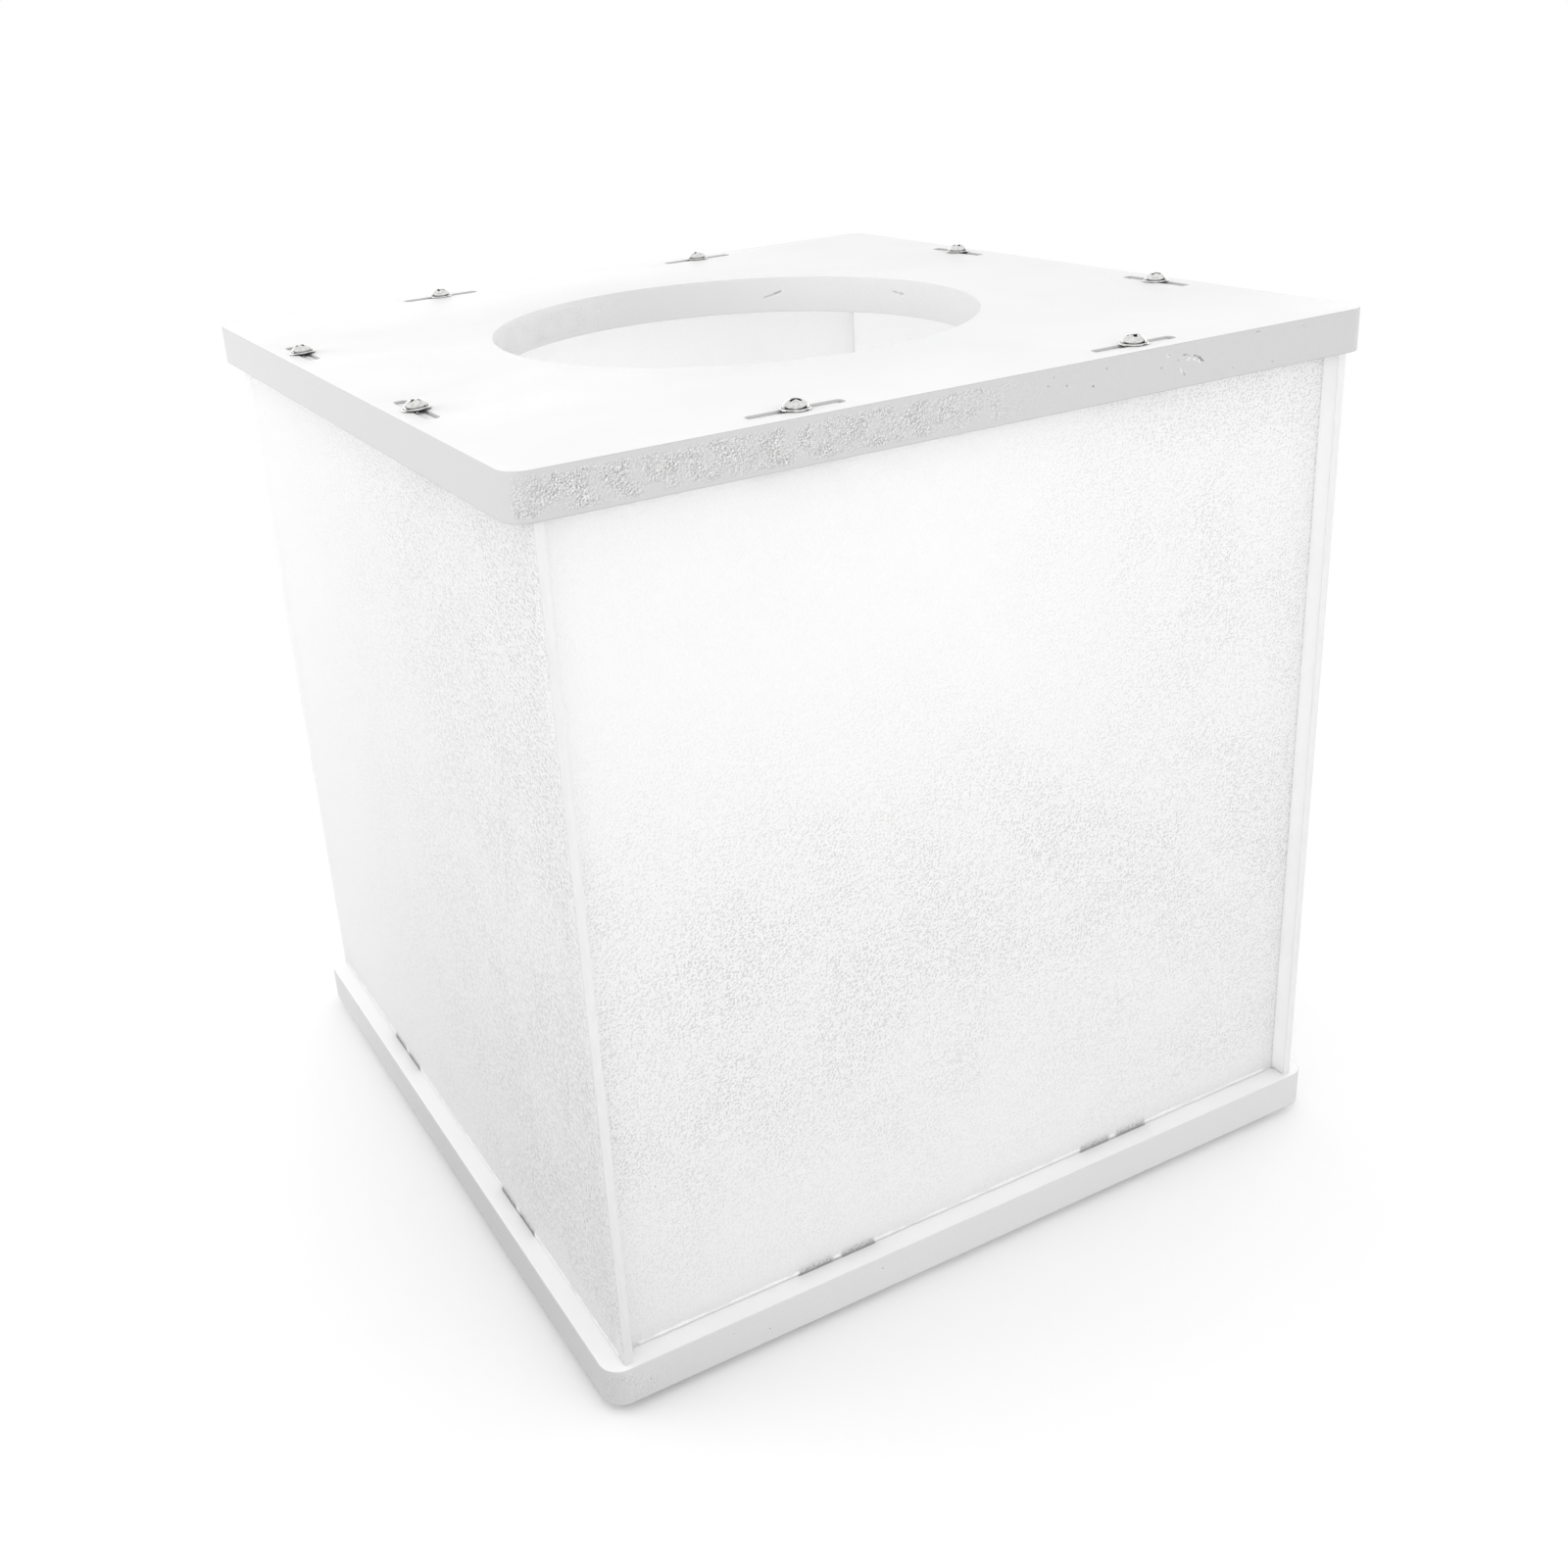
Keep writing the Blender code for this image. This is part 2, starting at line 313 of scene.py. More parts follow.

# Marks on the cut edges: from, to, radius, depth and tone, where -1 is dark, painted shade in the mark's pit,
# and 1 is light.
# Those on the front edges are given by X and Z alone.
LID_FRONT_MARKS = (
    ((0.0620, 0.2643), (0.0630, 0.2642), 0.00020, 0.0003, -0.8),
    ((0.0636, 0.2640), (0.0639, 0.2640), 0.00018, 0.0003, -0.7),
    ((0.0657, 0.2638), (0.0664, 0.2636), 0.00020, 0.0004, -0.9),
    ((0.0668, 0.2634), (0.0676, 0.2629), 0.00022, 0.0004, -0.9),
    ((0.0679, 0.2627), (0.0684, 0.2622), 0.00024, 0.0005, -1.0),
    ((0.0686, 0.2620), (0.0691, 0.2616), 0.00020, 0.0004, -0.8),
    ((0.0655, 0.2629), (0.0661, 0.2626), 0.00020, 0.0001, 0.8),
    ((0.0672, 0.2619), (0.0677, 0.2616), 0.00020, 0.0001, 0.8),
    ((0.0797, 0.2584), (0.0797, 0.2584), 0.00024, 0.0004, -0.8),
    ((0.0940, 0.2580), (0.0941, 0.2580), 0.00022, 0.0004, -0.8),
    ((0.1048, 0.2660), (0.1048, 0.2660), 0.00024, 0.0003, -0.8),
    ((0.0874, 0.2666), (0.0887, 0.2666), 0.00018, 0.0002, -0.6),
    ((0.0546, 0.2619), (0.0546, 0.2619), 0.00026, 0.0004, -0.9),
    ((0.0361, 0.2648), (0.0361, 0.2648), 0.00026, 0.0004, -0.8),
    ((0.0318, 0.2609), (0.0318, 0.2609), 0.00030, 0.0005, -1.0),
    ((0.0232, 0.2625), (0.0232, 0.2625), 0.00028, 0.0004, -0.9),
    ((0.0190, 0.2650), (0.0190, 0.2650), 0.00026, 0.0003, -0.7),
    ((0.0399, 0.2625), (0.0408, 0.2612), 0.00018, 0.0001, 0.2),
    ((0.0426, 0.2598), (0.0432, 0.2592), 0.00018, 0.0001, 0.2),
    ((0.0611, 0.2610), (0.0615, 0.2599), 0.00020, 0.0001, 0.7),
    ((0.0626, 0.2592), (0.0622, 0.2599), 0.00020, 0.0003, -0.6),
    ((0.0633, 0.2628), (0.0640, 0.2634), 0.00022, 0.0001, 0.8),
    ((0.0563, 0.2655), (0.0563, 0.2655), 0.00024, 0.0002, 0.7),
    ((0.0566, 0.2646), (0.0567, 0.2646), 0.00024, 0.0002, 0.8),
    ((0.0570, 0.2651), (0.0570, 0.2651), 0.00020, 0.0003, -0.5),
    ((0.0602, 0.2631), (0.0602, 0.2631), 0.00024, 0.0004, -0.8),
    ((0.0470, 0.2663), (0.0471, 0.2663), 0.00020, 0.0002, -0.4),
    ((0.1103, 0.2660), (0.1103, 0.2660), 0.00022, 0.0001, 0.5),
    ((0.1148, 0.2649), (0.1148, 0.2649), 0.00022, 0.0001, 0.5),
    ((0.0838, 0.2590), (0.0838, 0.2590), 0.00022, 0.0001, 0.5),
    ((0.0171, 0.2632), (0.0176, 0.2632), 0.00020, 0.0003, -0.6),
    ((-0.0035, 0.2660), (-0.0033, 0.2650), 0.00020, 0.0003, -0.5),
)
HAND_HOLE_MARKS = (
    ((0.0451, 0.0599, 0.2611), (0.0474, 0.0581, 0.2618), 0.00020, 0.0003, -0.35),
    ((0.0481, 0.0575, 0.2622), (0.0497, 0.0561, 0.2627), 0.00026, 0.0004, -0.9),
    ((0.0724, 0.0195, 0.2638), (0.0728, 0.0180, 0.2634), 0.00020, 0.0003, -0.5),
    ((0.0731, 0.0168, 0.2631), (0.0734, 0.0155, 0.2627), 0.00024, 0.0004, -0.8),
)
BASE_FRONT_MARKS = (
    ((-0.0406, 0.0107), (-0.0406, 0.0107), 0.00022, 0.0004, -0.9),
    ((-0.0793, 0.0071), (-0.0793, 0.0071), 0.00022, 0.0004, -0.9),
    ((-0.0910, 0.0111), (-0.0910, 0.0111), 0.00020, 0.0003, -0.5),
    ((-0.1174, 0.0085), (-0.1174, 0.0085), 0.00022, 0.0004, -0.8),
)
BASE_LEFT_MARKS = (
    ((-0.1300, -0.1044, 0.0088), (-0.1300, -0.1044, 0.0088), 0.00022, 0.0004, -0.9),
)

# Stretches where the saw tore the foam: from and to along X and Y, how far they fade out, and strength
LID_TORN = (
    ((-0.1275, -0.0150), (-0.1310, -0.1285), (0.0200, 0.0006), 1.0),
    ((-0.0760, -0.0300), (0.0250, 0.0760), (0.0250, 0.0100), 0.8),
    ((0.0600, 0.0760), (-0.0300, 0.0300), (0.0100, 0.0200), 0.3),
    ((0.0400, 0.0900), (0.1280, 0.1310), (0.0150, 0.0006), 0.7),
    ((0.1280, 0.1310), (0.0200, 0.0600), (0.0006, 0.0150), 0.6),
)
BASE_TORN = (
    ((-0.1290, -0.1180), (-0.1310, -0.1270), (0.0060, 0.0010), 0.6),
    ((-0.1000, -0.0200), (-0.1310, -0.1285), (0.0200, 0.0006), 0.1),
    ((0.1280, 0.1310), (-0.0900, -0.0400), (0.0006, 0.0150), 0.6),
    ((-0.0600, 0.0200), (0.1280, 0.1310), (0.0200, 0.0006), 0.7),
)

# Studio: the room's even light, and each lamp's place, aim, width, height and power
ROOM_LIGHT = 1.01
LAMPS = {
    "front_lamp": ((0.25, -0.9, 0.25), (0.0, -0.13, 0.2), 0.6, 0.4, 0.14),
    "lid_front_lamp": ((0.0, -0.45, 0.34), (0.0, -0.13, 0.24), 0.5, 0.15, 0.24),
    "hand_hole_lamp": ((-0.25, -0.5, 0.46), (0.03, 0.05, 0.24), 0.3, 0.2, 0.16),
    "left_lamp": ((-0.65, 0.3, 0.38), (-0.13, 0.05, 0.25), 0.5, 0.2, 1.05),
    "back_lamp": ((0.0, 0.9, 0.3), (0.0, 0.12, 0.16), 0.9, 0.4, 1.0),
    "right_lamp": ((0.9, 0.05, 0.3), (0.13, 0.0, 0.16), 0.9, 0.4, 1.55),
}

# The dim band that metal mirrors: its heights in the room, its front, and how dim it is
BAND_FOOT = (0.02, 0.08)
BAND_TOP = (0.42, 0.6)
BAND_FRONT = (0.45, 0.9)
BAND_SIDES = (0.55, 0.2)
BAND_DIMMING = 0.97

# Floor: how far from the box it turns white, and a dark card on it that the camera doesn't see
FLOOR_RADIUS = 6.0
FLOOR_CORNERS = 96
FLOOR_FADE = (0.17, 0.5)
FLOOR_TONE = 0.9
FLOOR_ROUGHNESS = 0.9
FLOOR_SHINE = 0.1
DARK_CARD_TONE = 0.35
DARK_CARD_PLACE = (-0.27, -0.06, 0.0)
DARK_CARD_REACH = (0.08, 0.25)

# Camera, solved from the box's straight edges
PHOTO_SIZE = 1600
FOCAL_PIXELS = 1730.3
CENTRE_PIXEL = (709.4, 721.0)
SENSOR_WIDTH = 36.0
CAMERA_PLACE = (-0.25581, -0.46596, 0.35909)
CAMERA_AZIMUTH = math.radians(26.476)
CAMERA_TILT = math.radians(22.586)
CAMERA_ROLL = math.radians(-4.243)
CAMERA_REACH = (0.01, 50.0)


def new_finish(name):
    """Starts a finish and gives it with its node tree and shader."""
    finish = bpy.data.materials.new(name)
    finish.use_nodes = True
    return finish, finish.node_tree, finish.node_tree.nodes["Principled BSDF"]


def add_node(tree, kind, **settings):
    """Adds a node with these settings."""
    made = tree.nodes.new(kind)
    for key, value in settings.items():
        setattr(made, key, value)
    return made


def feed(tree, socket, value):
    """Links a socket to another's output, or sets its value."""
    if isinstance(value, bpy.types.NodeSocket):
        tree.links.new(value, socket)
    else:
        socket.default_value = value


def maths(tree, operation, *terms):
    """Adds a Math node on these terms and gives its result."""
    made = add_node(tree, "ShaderNodeMath", operation=operation)
    for socket, term in zip(made.inputs, terms):
        feed(tree, socket, term)
    return made.outputs[0]


def product(tree, *terms):
    """Multiplies all these values."""
    result = terms[0]
    for term in terms[1:]:
        result = maths(tree, "MULTIPLY", result, term)
    return result


def ramp(tree, value, low, high, to_low=0.0, to_high=1.0):
    """Eases a value from one range into another."""
    made = add_node(tree, "ShaderNodeMapRange", interpolation_type="SMOOTHSTEP")
    terms = {"Value": value, "From Min": low, "From Max": high, "To Min": to_low, "To Max": to_high}
    for name, term in terms.items():
        feed(tree, made.inputs[name], term)
    return made.outputs["Result"]


def blend(tree, share, first, second, kind="RGBA"):
    """Mixes two colours, or two values where the kind says so."""
    made = add_node(tree, "ShaderNodeMix", data_type=kind)
    for name, term in (("Factor", share), ("A", first), ("B", second)):
        feed(tree, made.inputs[name], term)
    return made.outputs["Result"]


def grey(tone):
    """Gives a neutral colour."""
    return (tone, tone, tone, 1)


def places_on(tree):
    """Gives the object's own coordinates, in metres."""
    return add_node(tree, "ShaderNodeTexCoord").outputs["Object"]


def parted(tree, places):
    """Gives the X, Y and Z of a place."""
    split = add_node(tree, "ShaderNodeSeparateXYZ")
    tree.links.new(places, split.inputs[0])
    return split.outputs


def changed(tree, operation, places, by):
    """Moves or stretches places, or measures how far they are from one."""
    made = add_node(tree, "ShaderNodeVectorMath", operation=operation)
    tree.links.new(places, made.inputs[0])
    made.inputs[1].default_value = by
    return made.outputs["Value"] if operation == "DISTANCE" else made.outputs[0]


def mottle(tree, places, size, detail=2.0):
    """Gives cloudy noise whose blotches are about this size."""
    made = add_node(tree, "ShaderNodeTexNoise")
    tree.links.new(places, made.inputs["Vector"])
    made.inputs["Scale"].default_value = 1 / size
    made.inputs["Detail"].default_value = detail
    return made.outputs["Fac"]


def relief(tree, places, size, shift):
    """Gives grain seen with light from one side, for painting: below 0 on its far slopes, where shade is
    painted, above 0 on its near ones, where a highlight is painted.
    """
    grain = mottle(tree, places, size, 1.0)
    moved = mottle(tree, changed(tree, "ADD", places, shift), size, 1.0)
    return maths(tree, "SUBTRACT", grain, moved), grain


def shade_slopes(tree, colour, slope, steepest, share, tones):
    """Paints shade on a relief's far slopes and then a highlight on its near ones, up to this share."""
    for way, tone in zip((-1, 1), tones):
        colour = blend(tree, product(tree, ramp(tree, slope, 0.0, way * steepest), share), colour, grey(tone))
    return colour


def bumps(tree, height, distance, strength=0.5):
    """Turns a height into a normal."""
    made = add_node(tree, "ShaderNodeBump")
    made.inputs["Strength"].default_value = strength
    made.inputs["Distance"].default_value = distance
    tree.links.new(height, made.inputs["Height"])
    return made.outputs["Normal"]


def own_value(tree, name):
    """Reads a value that the mesh carries at each vertex."""
    return add_node(tree, "ShaderNodeAttribute", attribute_name=name).outputs["Fac"]


def inside_box(tree, places):
    """Gives 1 on the boards' faces between the panels, and 0 elsewhere."""
    x, y, z = parted(tree, places)
    from_middle = maths(tree, "SUBTRACT", z, (BASE_HIGH.z + LID_LOW.z) / 2)
    half_height = (LID_LOW.z - BASE_HIGH.z) / 2 + BOARD_EASE
    limits = ((x, PANEL_END), (y, FRONT_INNER_FACE), (from_middle, half_height))
    within = [maths(tree, "LESS_THAN", maths(tree, "ABSOLUTE", value), limit) for value, limit in limits]
    return product(tree, *within)


def foam_skin_finish():
    """The boards' smooth pressed face: satin white with a faint mottle, painted whitest inside the box as
    painted light.
    """
    finish, tree, shader = new_finish("foam_skin")
    places = places_on(tree)
    cloud = mottle(tree, places, *SKIN_CLOUD)
    grain = mottle(tree, places, *SKIN_GRAIN)
    dark, pale = SKIN_TONES
    colour = blend(tree, ramp(tree, cloud, *NOISE_MIDDLE), grey(dark), grey(pale))
    # Painted light: paler inside the box
    colour = blend(tree, inside_box(tree, places), colour, grey(INSIDE_PAINTED_LIGHT_TONE))
    feed(tree, shader.inputs["Base Color"], colour)
    feed(tree, shader.inputs["Roughness"], ramp(tree, grain, *NOISE_MOST, *SKIN_ROUGHNESS))
    feed(tree, shader.inputs["Normal"], bumps(tree, grain, SKIN_BUMP))
    return finish


def foam_cut_finish():
    """The boards' cut edges: light grey, torn into fine worms and pores in the core of the sheet, with
    painted shade and highlight on the torn grain, painted shade along the films and in dark marks, and
    painted light by the way each edge faces.
    """
    finish, tree, shader = new_finish("foam_cut")
    torn = own_value(tree, "torn")
    tone = own_value(tree, "tone")
    slope, crumb = relief(tree, places_on(tree), CRUMB_SIZE, CRUMB_LIGHT)
    dark, pale = CUT_TONES
    colour = blend(tree, ramp(tree, crumb, *NOISE_MOST), grey(dark), grey(pale))
    # Painted shade and highlight on the torn grain's slopes
    colour = shade_slopes(tree, colour, slope, CRUMB_SLOPE, product(tree, torn, CRUMB_SHARE), CRUMB_SHADE_AND_HIGHLIGHT)
    # Darker line along the films, partly the skin's edge and partly painted shade
    film_shade = ramp(tree, own_value(tree, "core"), 0.0, FILM_EDGE, FILM_SHADE_SHARE, 0.0)
    colour = blend(tree, film_shade, colour, grey(FILM_SHADE_TONE))
    # The tone blends in the edges' painted light and pale marks, and painted shade in the dark marks' pits
    for strongest, (share, mark_tone) in ((1.0, PAINTED_LIGHT_AND_PALE_MARK), (-1.0, PIT_SHADE)):
        colour = blend(tree, ramp(tree, tone, 0.0, strongest, 0.0, share), colour, grey(mark_tone))
    feed(tree, shader.inputs["Base Color"], colour)
    feed(tree, shader.inputs["Roughness"], ramp(tree, crumb, *NOISE_MOST, *CUT_ROUGHNESS))
    lift = product(tree, crumb, ramp(tree, torn, 0.0, 1.0, SOUND_ROUGHNESS, 1.0))
    feed(tree, shader.inputs["Normal"], bumps(tree, lift, *CUT_BUMP))
    return finish


def let_light_through(tree, shader, colour, bent_normal, share):
    """Makes the sheet milky: this share of the light goes on to its other side and spreads out there."""
    feed(tree, shader.inputs["Base Color"], colour)
    feed(tree, shader.inputs["Normal"], bent_normal)
    through = add_node(tree, "ShaderNodeBsdfTranslucent")
    feed(tree, through.inputs["Color"], colour)
    feed(tree, through.inputs["Normal"], bent_normal)
    sheet = add_node(tree, "ShaderNodeMixShader")
    sheet.inputs[0].default_value = share
    tree.links.new(shader.outputs[0], sheet.inputs[1])
    tree.links.new(through.outputs[0], sheet.inputs[2])
    tree.links.new(sheet.outputs[0], tree.nodes["Material Output"].inputs["Surface"])


def pebble_strength(tree, places, on_side, above_base):
    """Gives how strong the grain's painted shade and highlight are: most halfway up the front and along the
    sides' front ends, fainter at the foot.
    """
    x, y = parted(tree, places)[:2]
    near_top = ramp(tree, above_base, *PEBBLES_NEAR_TOP)
    halfway = product(tree, near_top, ramp(tree, above_base, *PEBBLES_UPWARDS))
    across = maths(tree, "MAXIMUM", halfway, ramp(tree, x, *PEBBLES_RIGHTWARDS))
    strength = blend(tree, on_side, across, ramp(tree, y, *PEBBLES_BACKWARDS), "FLOAT")
    patches = ramp(tree, mottle(tree, places, *PEBBLE_CLOUD), *PEBBLE_PATCHES)
    fainter_at_foot = ramp(tree, above_base, *PEBBLES_AT_FOOT)
    return product(tree, strength, patches, fainter_at_foot)


def add_tab_shade(tree, colour, slope, along, above_base):
    """Paints shade as a grainy haze over the tabs, and gives where they are as well."""
    from_screw = maths(tree, "ABSOLUTE", maths(tree, "SUBTRACT", along, SLOT_MIDDLE))
    past_gap = ramp(tree, from_screw, *[TAB_GAP / 2 + blur for blur in TAB_BLUR_AT_GAP])
    before_end = ramp(tree, from_screw, TAB_PAIR_LENGTH / 2, TAB_PAIR_LENGTH / 2 + TAB_BLUR_AT_END, 1.0, 0.0)
    over_tab = product(tree, past_gap, before_end)
    grainy = ramp(tree, slope, *TAB_SHADE_ON_GRAIN)
    tab_shade = product(tree, over_tab, ramp(tree, above_base, *TAB_SHADE_UPWARDS), grainy)
    return blend(tree, tab_shade, colour, grey(TAB_SHADE_TONE)), over_tab


def pebbled_finish():
    """The panels' outer faces: milky sheet with a leathery grain in painted shade and highlight, with painted
    shade over the tabs, towards its foot and along its ends.
    """
    finish, tree, shader = new_finish("pebbled_sheet")
    places = places_on(tree)
    stretched = changed(tree, "MULTIPLY", places, PEBBLE_STRETCH)
    slope, grain = relief(tree, stretched, PEBBLE_SIZE, PEBBLE_LIGHT)
    x, y, z = parted(tree, places)
    across_x = maths(tree, "ABSOLUTE", x)
    on_side = maths(tree, "GREATER_THAN", across_x, PANEL_END + PANEL_EASE)
    above_base = maths(tree, "SUBTRACT", z, BASE_HIGH.z)
    strength = pebble_strength(tree, places, on_side, above_base)
    plain, shaded = PEBBLE_TONE_AND_SHADE
    # Painted shade on the pebbles' far slopes and a painted highlight on their near ones
    colour = shade_slopes(tree, grey(plain), slope, PEBBLE_SLOPE, strength, (shaded, 1.0))
    along = maths(tree, "MINIMUM", across_x, maths(tree, "ABSOLUTE", y))
    colour, over_tab = add_tab_shade(tree, colour, slope, along, above_base)
    # Painted shade, darker towards the foot and more on the side panels
    painted_shade = maths(tree, "MULTIPLY_ADD", on_side, SIDE_PAINTED_SHADE, FOOT_PAINTED_SHADE)
    painted_shade = product(tree, painted_shade, ramp(tree, above_base, *PAINTED_SHADE_UPWARDS))
    colour = blend(tree, painted_shade, colour, grey(0.0))
    # Painted shadow line over the tabs at the foot
    line = product(tree, over_tab, ramp(tree, above_base, *TAB_SHADOW_LINE_UPWARDS))
    colour = blend(tree, line, colour, grey(TAB_SHADOW_LINE_TONE))
    # Painted shade in dots along the ends, at the seams with the side panels
    end_gap = maths(tree, "SUBTRACT", PANEL_END, across_x)
    on_front = maths(tree, "GREATER_THAN", end_gap, -END_PLAY)
    dotted = ramp(tree, ramp(tree, slope, 0.0, -SEAM_SHADE_SLOPE), *SEAM_SHADE_ON_GRAIN)
    seam_shade = product(tree, ramp(tree, end_gap, *SEAM_SHADE_FROM_END), on_front, dotted)
    colour = blend(tree, seam_shade, colour, grey(SEAM_SHADE_TONE))
    to_speck = changed(tree, "DISTANCE", places, PANEL_SPECK)
    colour = blend(tree, ramp(tree, to_speck, *SPECK_HALO), colour, grey(1.0))
    colour = blend(tree, ramp(tree, to_speck, *SPECK_DOT), colour, grey(SPECK_TONE))
    feed(tree, shader.inputs["Roughness"], ramp(tree, grain, *NOISE_MOST, *PEBBLE_ROUGHNESS))
    let_light_through(tree, shader, colour, bumps(tree, grain, PEBBLE_BUMP), FACE_LIGHT_SHARE)
    return finish


def smooth_sheet_finish(name, tones, share):
    """The panels' cut surfaces: milky sheet with faint lines of the cutter."""
    finish, tree, shader = new_finish(name)
    stretched = changed(tree, "MULTIPLY", places_on(tree), CUTTER_LINE_STRETCH)
    lines = mottle(tree, stretched, CUTTER_LINE_SIZE, 1.0)
    pale, dark = tones
    colour = blend(tree, ramp(tree, lines, *NOISE_MIDDLE), grey(dark), grey(pale))
    feed(tree, shader.inputs["Roughness"], ramp(tree, lines, *NOISE_MOST, *SMOOTH_ROUGHNESS))
    let_light_through(tree, shader, colour, bumps(tree, lines, CUTTER_LINE_BUMP), share)
    return finish


def inner_face_finish():
    """The panels' inner faces: nearly smooth and milky, smoothest where they run past their neighbours, with
    a faint grain in painted shade and highlight.
    """
    finish, tree, shader = new_finish("inner_face")
    places = places_on(tree)
    slope, grain = relief(tree, places, PEBBLE_SIZE, PEBBLE_LIGHT)
    across_y = maths(tree, "ABSOLUTE", parted(tree, places)[1])
    past = maths(tree, "GREATER_THAN", across_y, FRONT_OUTER_FACE)
    share = maths(tree, "MULTIPLY_ADD", past, INNER_GRAIN_PAST - INNER_GRAIN, INNER_GRAIN)
    plain, shaded = INNER_TONE_AND_SHADE
    # Painted shade on the grain's far slopes and a painted highlight on its near ones
    colour = shade_slopes(tree, grey(plain), slope, INNER_SLOPE, share, (shaded, 1.0))
    feed(tree, shader.inputs["Roughness"], ramp(tree, grain, *NOISE_MOST, *INNER_ROUGHNESS))
    let_light_through(tree, shader, colour, bumps(tree, grain, INNER_BUMP), FACE_LIGHT_SHARE)
    return finish


def zinc_finish():
    """Bright zinc plate, a little cloudy, with painted shade in the recess and creases."""
    finish, tree, shader = new_finish("bright_zinc")
    cloud = mottle(tree, places_on(tree), ZINC_CLOUD_SIZE)
    colour = blend(tree, ramp(tree, cloud, *NOISE_MIDDLE), *ZINC_COLOURS)
    # Painted shade in the recess and creases
    colour = blend(tree, own_value(tree, "crease_shade"), colour, grey(CREASE_SHADE_TONE))
    feed(tree, shader.inputs["Base Color"], colour)
    shader.inputs["Metallic"].default_value = 1.0
    feed(tree, shader.inputs["Roughness"], ramp(tree, cloud, *NOISE_MOST, *ZINC_ROUGHNESS))
    feed(tree, shader.inputs["Normal"], bumps(tree, cloud, *ZINC_BUMP))
    return finish


def slot_places():
    """Gives each slot's name, its middle and the way it runs, from the lid screws' places."""
    found = []
    for name in sorted(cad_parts):
        if name.startswith("lid_screw_"):
            low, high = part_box(name)
            place = name.removeprefix("lid_screw_")
            way = "X" if place.startswith(("front", "back")) else "Y"
            found.append((place, (low.x + high.x) / 2, (low.y + high.y) / 2, way))
    return found


SLOTS = slot_places()
SLOT_MIDDLE = abs(next(x for place, x, y, way in SLOTS if way == "X"))


def on_front(marks):
    """Puts marks that are given by X and Z on the boards' front edge."""
    front = LID_LOW.y
    placed = []
    for start, end, *look in marks:
        placed.append(((start[0], front, start[1]), (end[0], front, end[1]), *look))
    return placed


def drawn_mesh(name, mesh):
    """Turns edit data into a mesh."""
    data = bpy.data.meshes.new(name)
    mesh.to_mesh(data)
    mesh.free()
    return data


def placed_object(name, data):
    """Makes an object in the scene."""
    made = bpy.data.objects.new(name, data)
    bpy.context.scene.collection.objects.link(made)
    return made


def new_piece(name, data, finishes):
    """Makes an object of a mesh and gives it its finishes."""
    for finish in finishes:
        data.materials.append(finish)
    return placed_object(name, data)


def plain_mesh(name, made, *used):
    """Gives an object's mesh with its modifiers done, and removes the object and what it used."""
    view = bpy.context.evaluated_depsgraph_get()
    data = bpy.data.meshes.new_from_object(made.evaluated_get(view))
    data.name = name
    for gone in (made, *used):
        bpy.data.objects.remove(gone, do_unlink=True)
    return data


def join_rings(mesh, rings):
    """Adds the faces between each ring of points and the next one, and gives them."""
    faces = []
    for upper, lower in zip(rings, rings[1:]):
        for step in range(len(upper)):
            faces.append(mesh.faces.new((upper[step - 1], lower[step - 1], lower[step], upper[step])))
    return faces


def join_to_point(mesh, ring, point):
    """Adds the faces between a ring of points and one point."""
    for step in range(len(ring)):
        mesh.faces.new((point, ring[step - 1], ring[step]))


def rounded_outline(middle_x, middle_y, length_x, length_y, radius, stops):
    """Gives points on a rectangle with round corners, and the way out at each, at these distances along it.

    The distance runs from the start of the front straight towards +X and on round the rectangle.
    """
    straight_x = length_x - 2 * radius
    straight_y = length_y - 2 * radius
    quarter = radius * math.pi / 2
    points = []
    for stop in stops:
        left = stop
        for side in range(4):
            turn = side * math.pi / 2
            along = Vector((math.cos(turn), math.sin(turn)))
            out = Vector((math.sin(turn), -math.cos(turn)))
            straight, other = (straight_x, straight_y) if side % 2 == 0 else (straight_y, straight_x)
            corner = along * (straight / 2) + out * (other / 2)
            if left <= straight:
                place = corner + along * (left - straight) + out * radius
                points.append((place.x + middle_x, place.y + middle_y, out.x, out.y))
                break
            left -= straight
            if left < quarter:
                lean = out * math.cos(left / radius) + along * math.sin(left / radius)
                place = corner + lean * radius
                points.append((place.x + middle_x, place.y + middle_y, lean.x, lean.y))
                break
            left -= quarter
    return points


def outline_length(length_x, length_y, radius):
    """Gives the way round a rectangle with round corners."""
    return 2 * (length_x + length_y) - 8 * radius + 2 * math.pi * radius


def edge_stops(length, outline_at, marks, patches, height):
    """Gives distances along an edge, closer together where the foam is torn or marked."""
    mark_middles = [((Vector(start) + Vector(end)) / 2).xy for start, end, radius, depth, tone in marks]
    stops = []
    stop = 0.0
    while stop < length - WALL_STEP / 2:
        stops.append(stop)
        x, y, out_x, out_y = outline_at(stop)
        here = Vector((x, y, height))
        step = TORN_STEP if torn_share(here, patches) > TORN_ENOUGH else WALL_STEP
        if any((middle - here.xy).length < FINE_REACH for middle in mark_middles):
            step = FINE_STEP
        stop += step
    return stops


def slot_stops(width, radius):
    """Gives the distances along a slot's edge: the ends of its straights and points round its corners."""
    quarter = radius * math.pi / 2
    straights = (SLOT_LENGTH - 2 * radius, width - 2 * radius)
    steps = max(2, round(quarter / CORNER_STEP))
    stops = []
    start = 0.0
    for side in range(4):
        stops.append(start)
        start += straights[side % 2]
        stops += [start + quarter * step / steps for step in range(steps)]
        start += quarter
    return stops


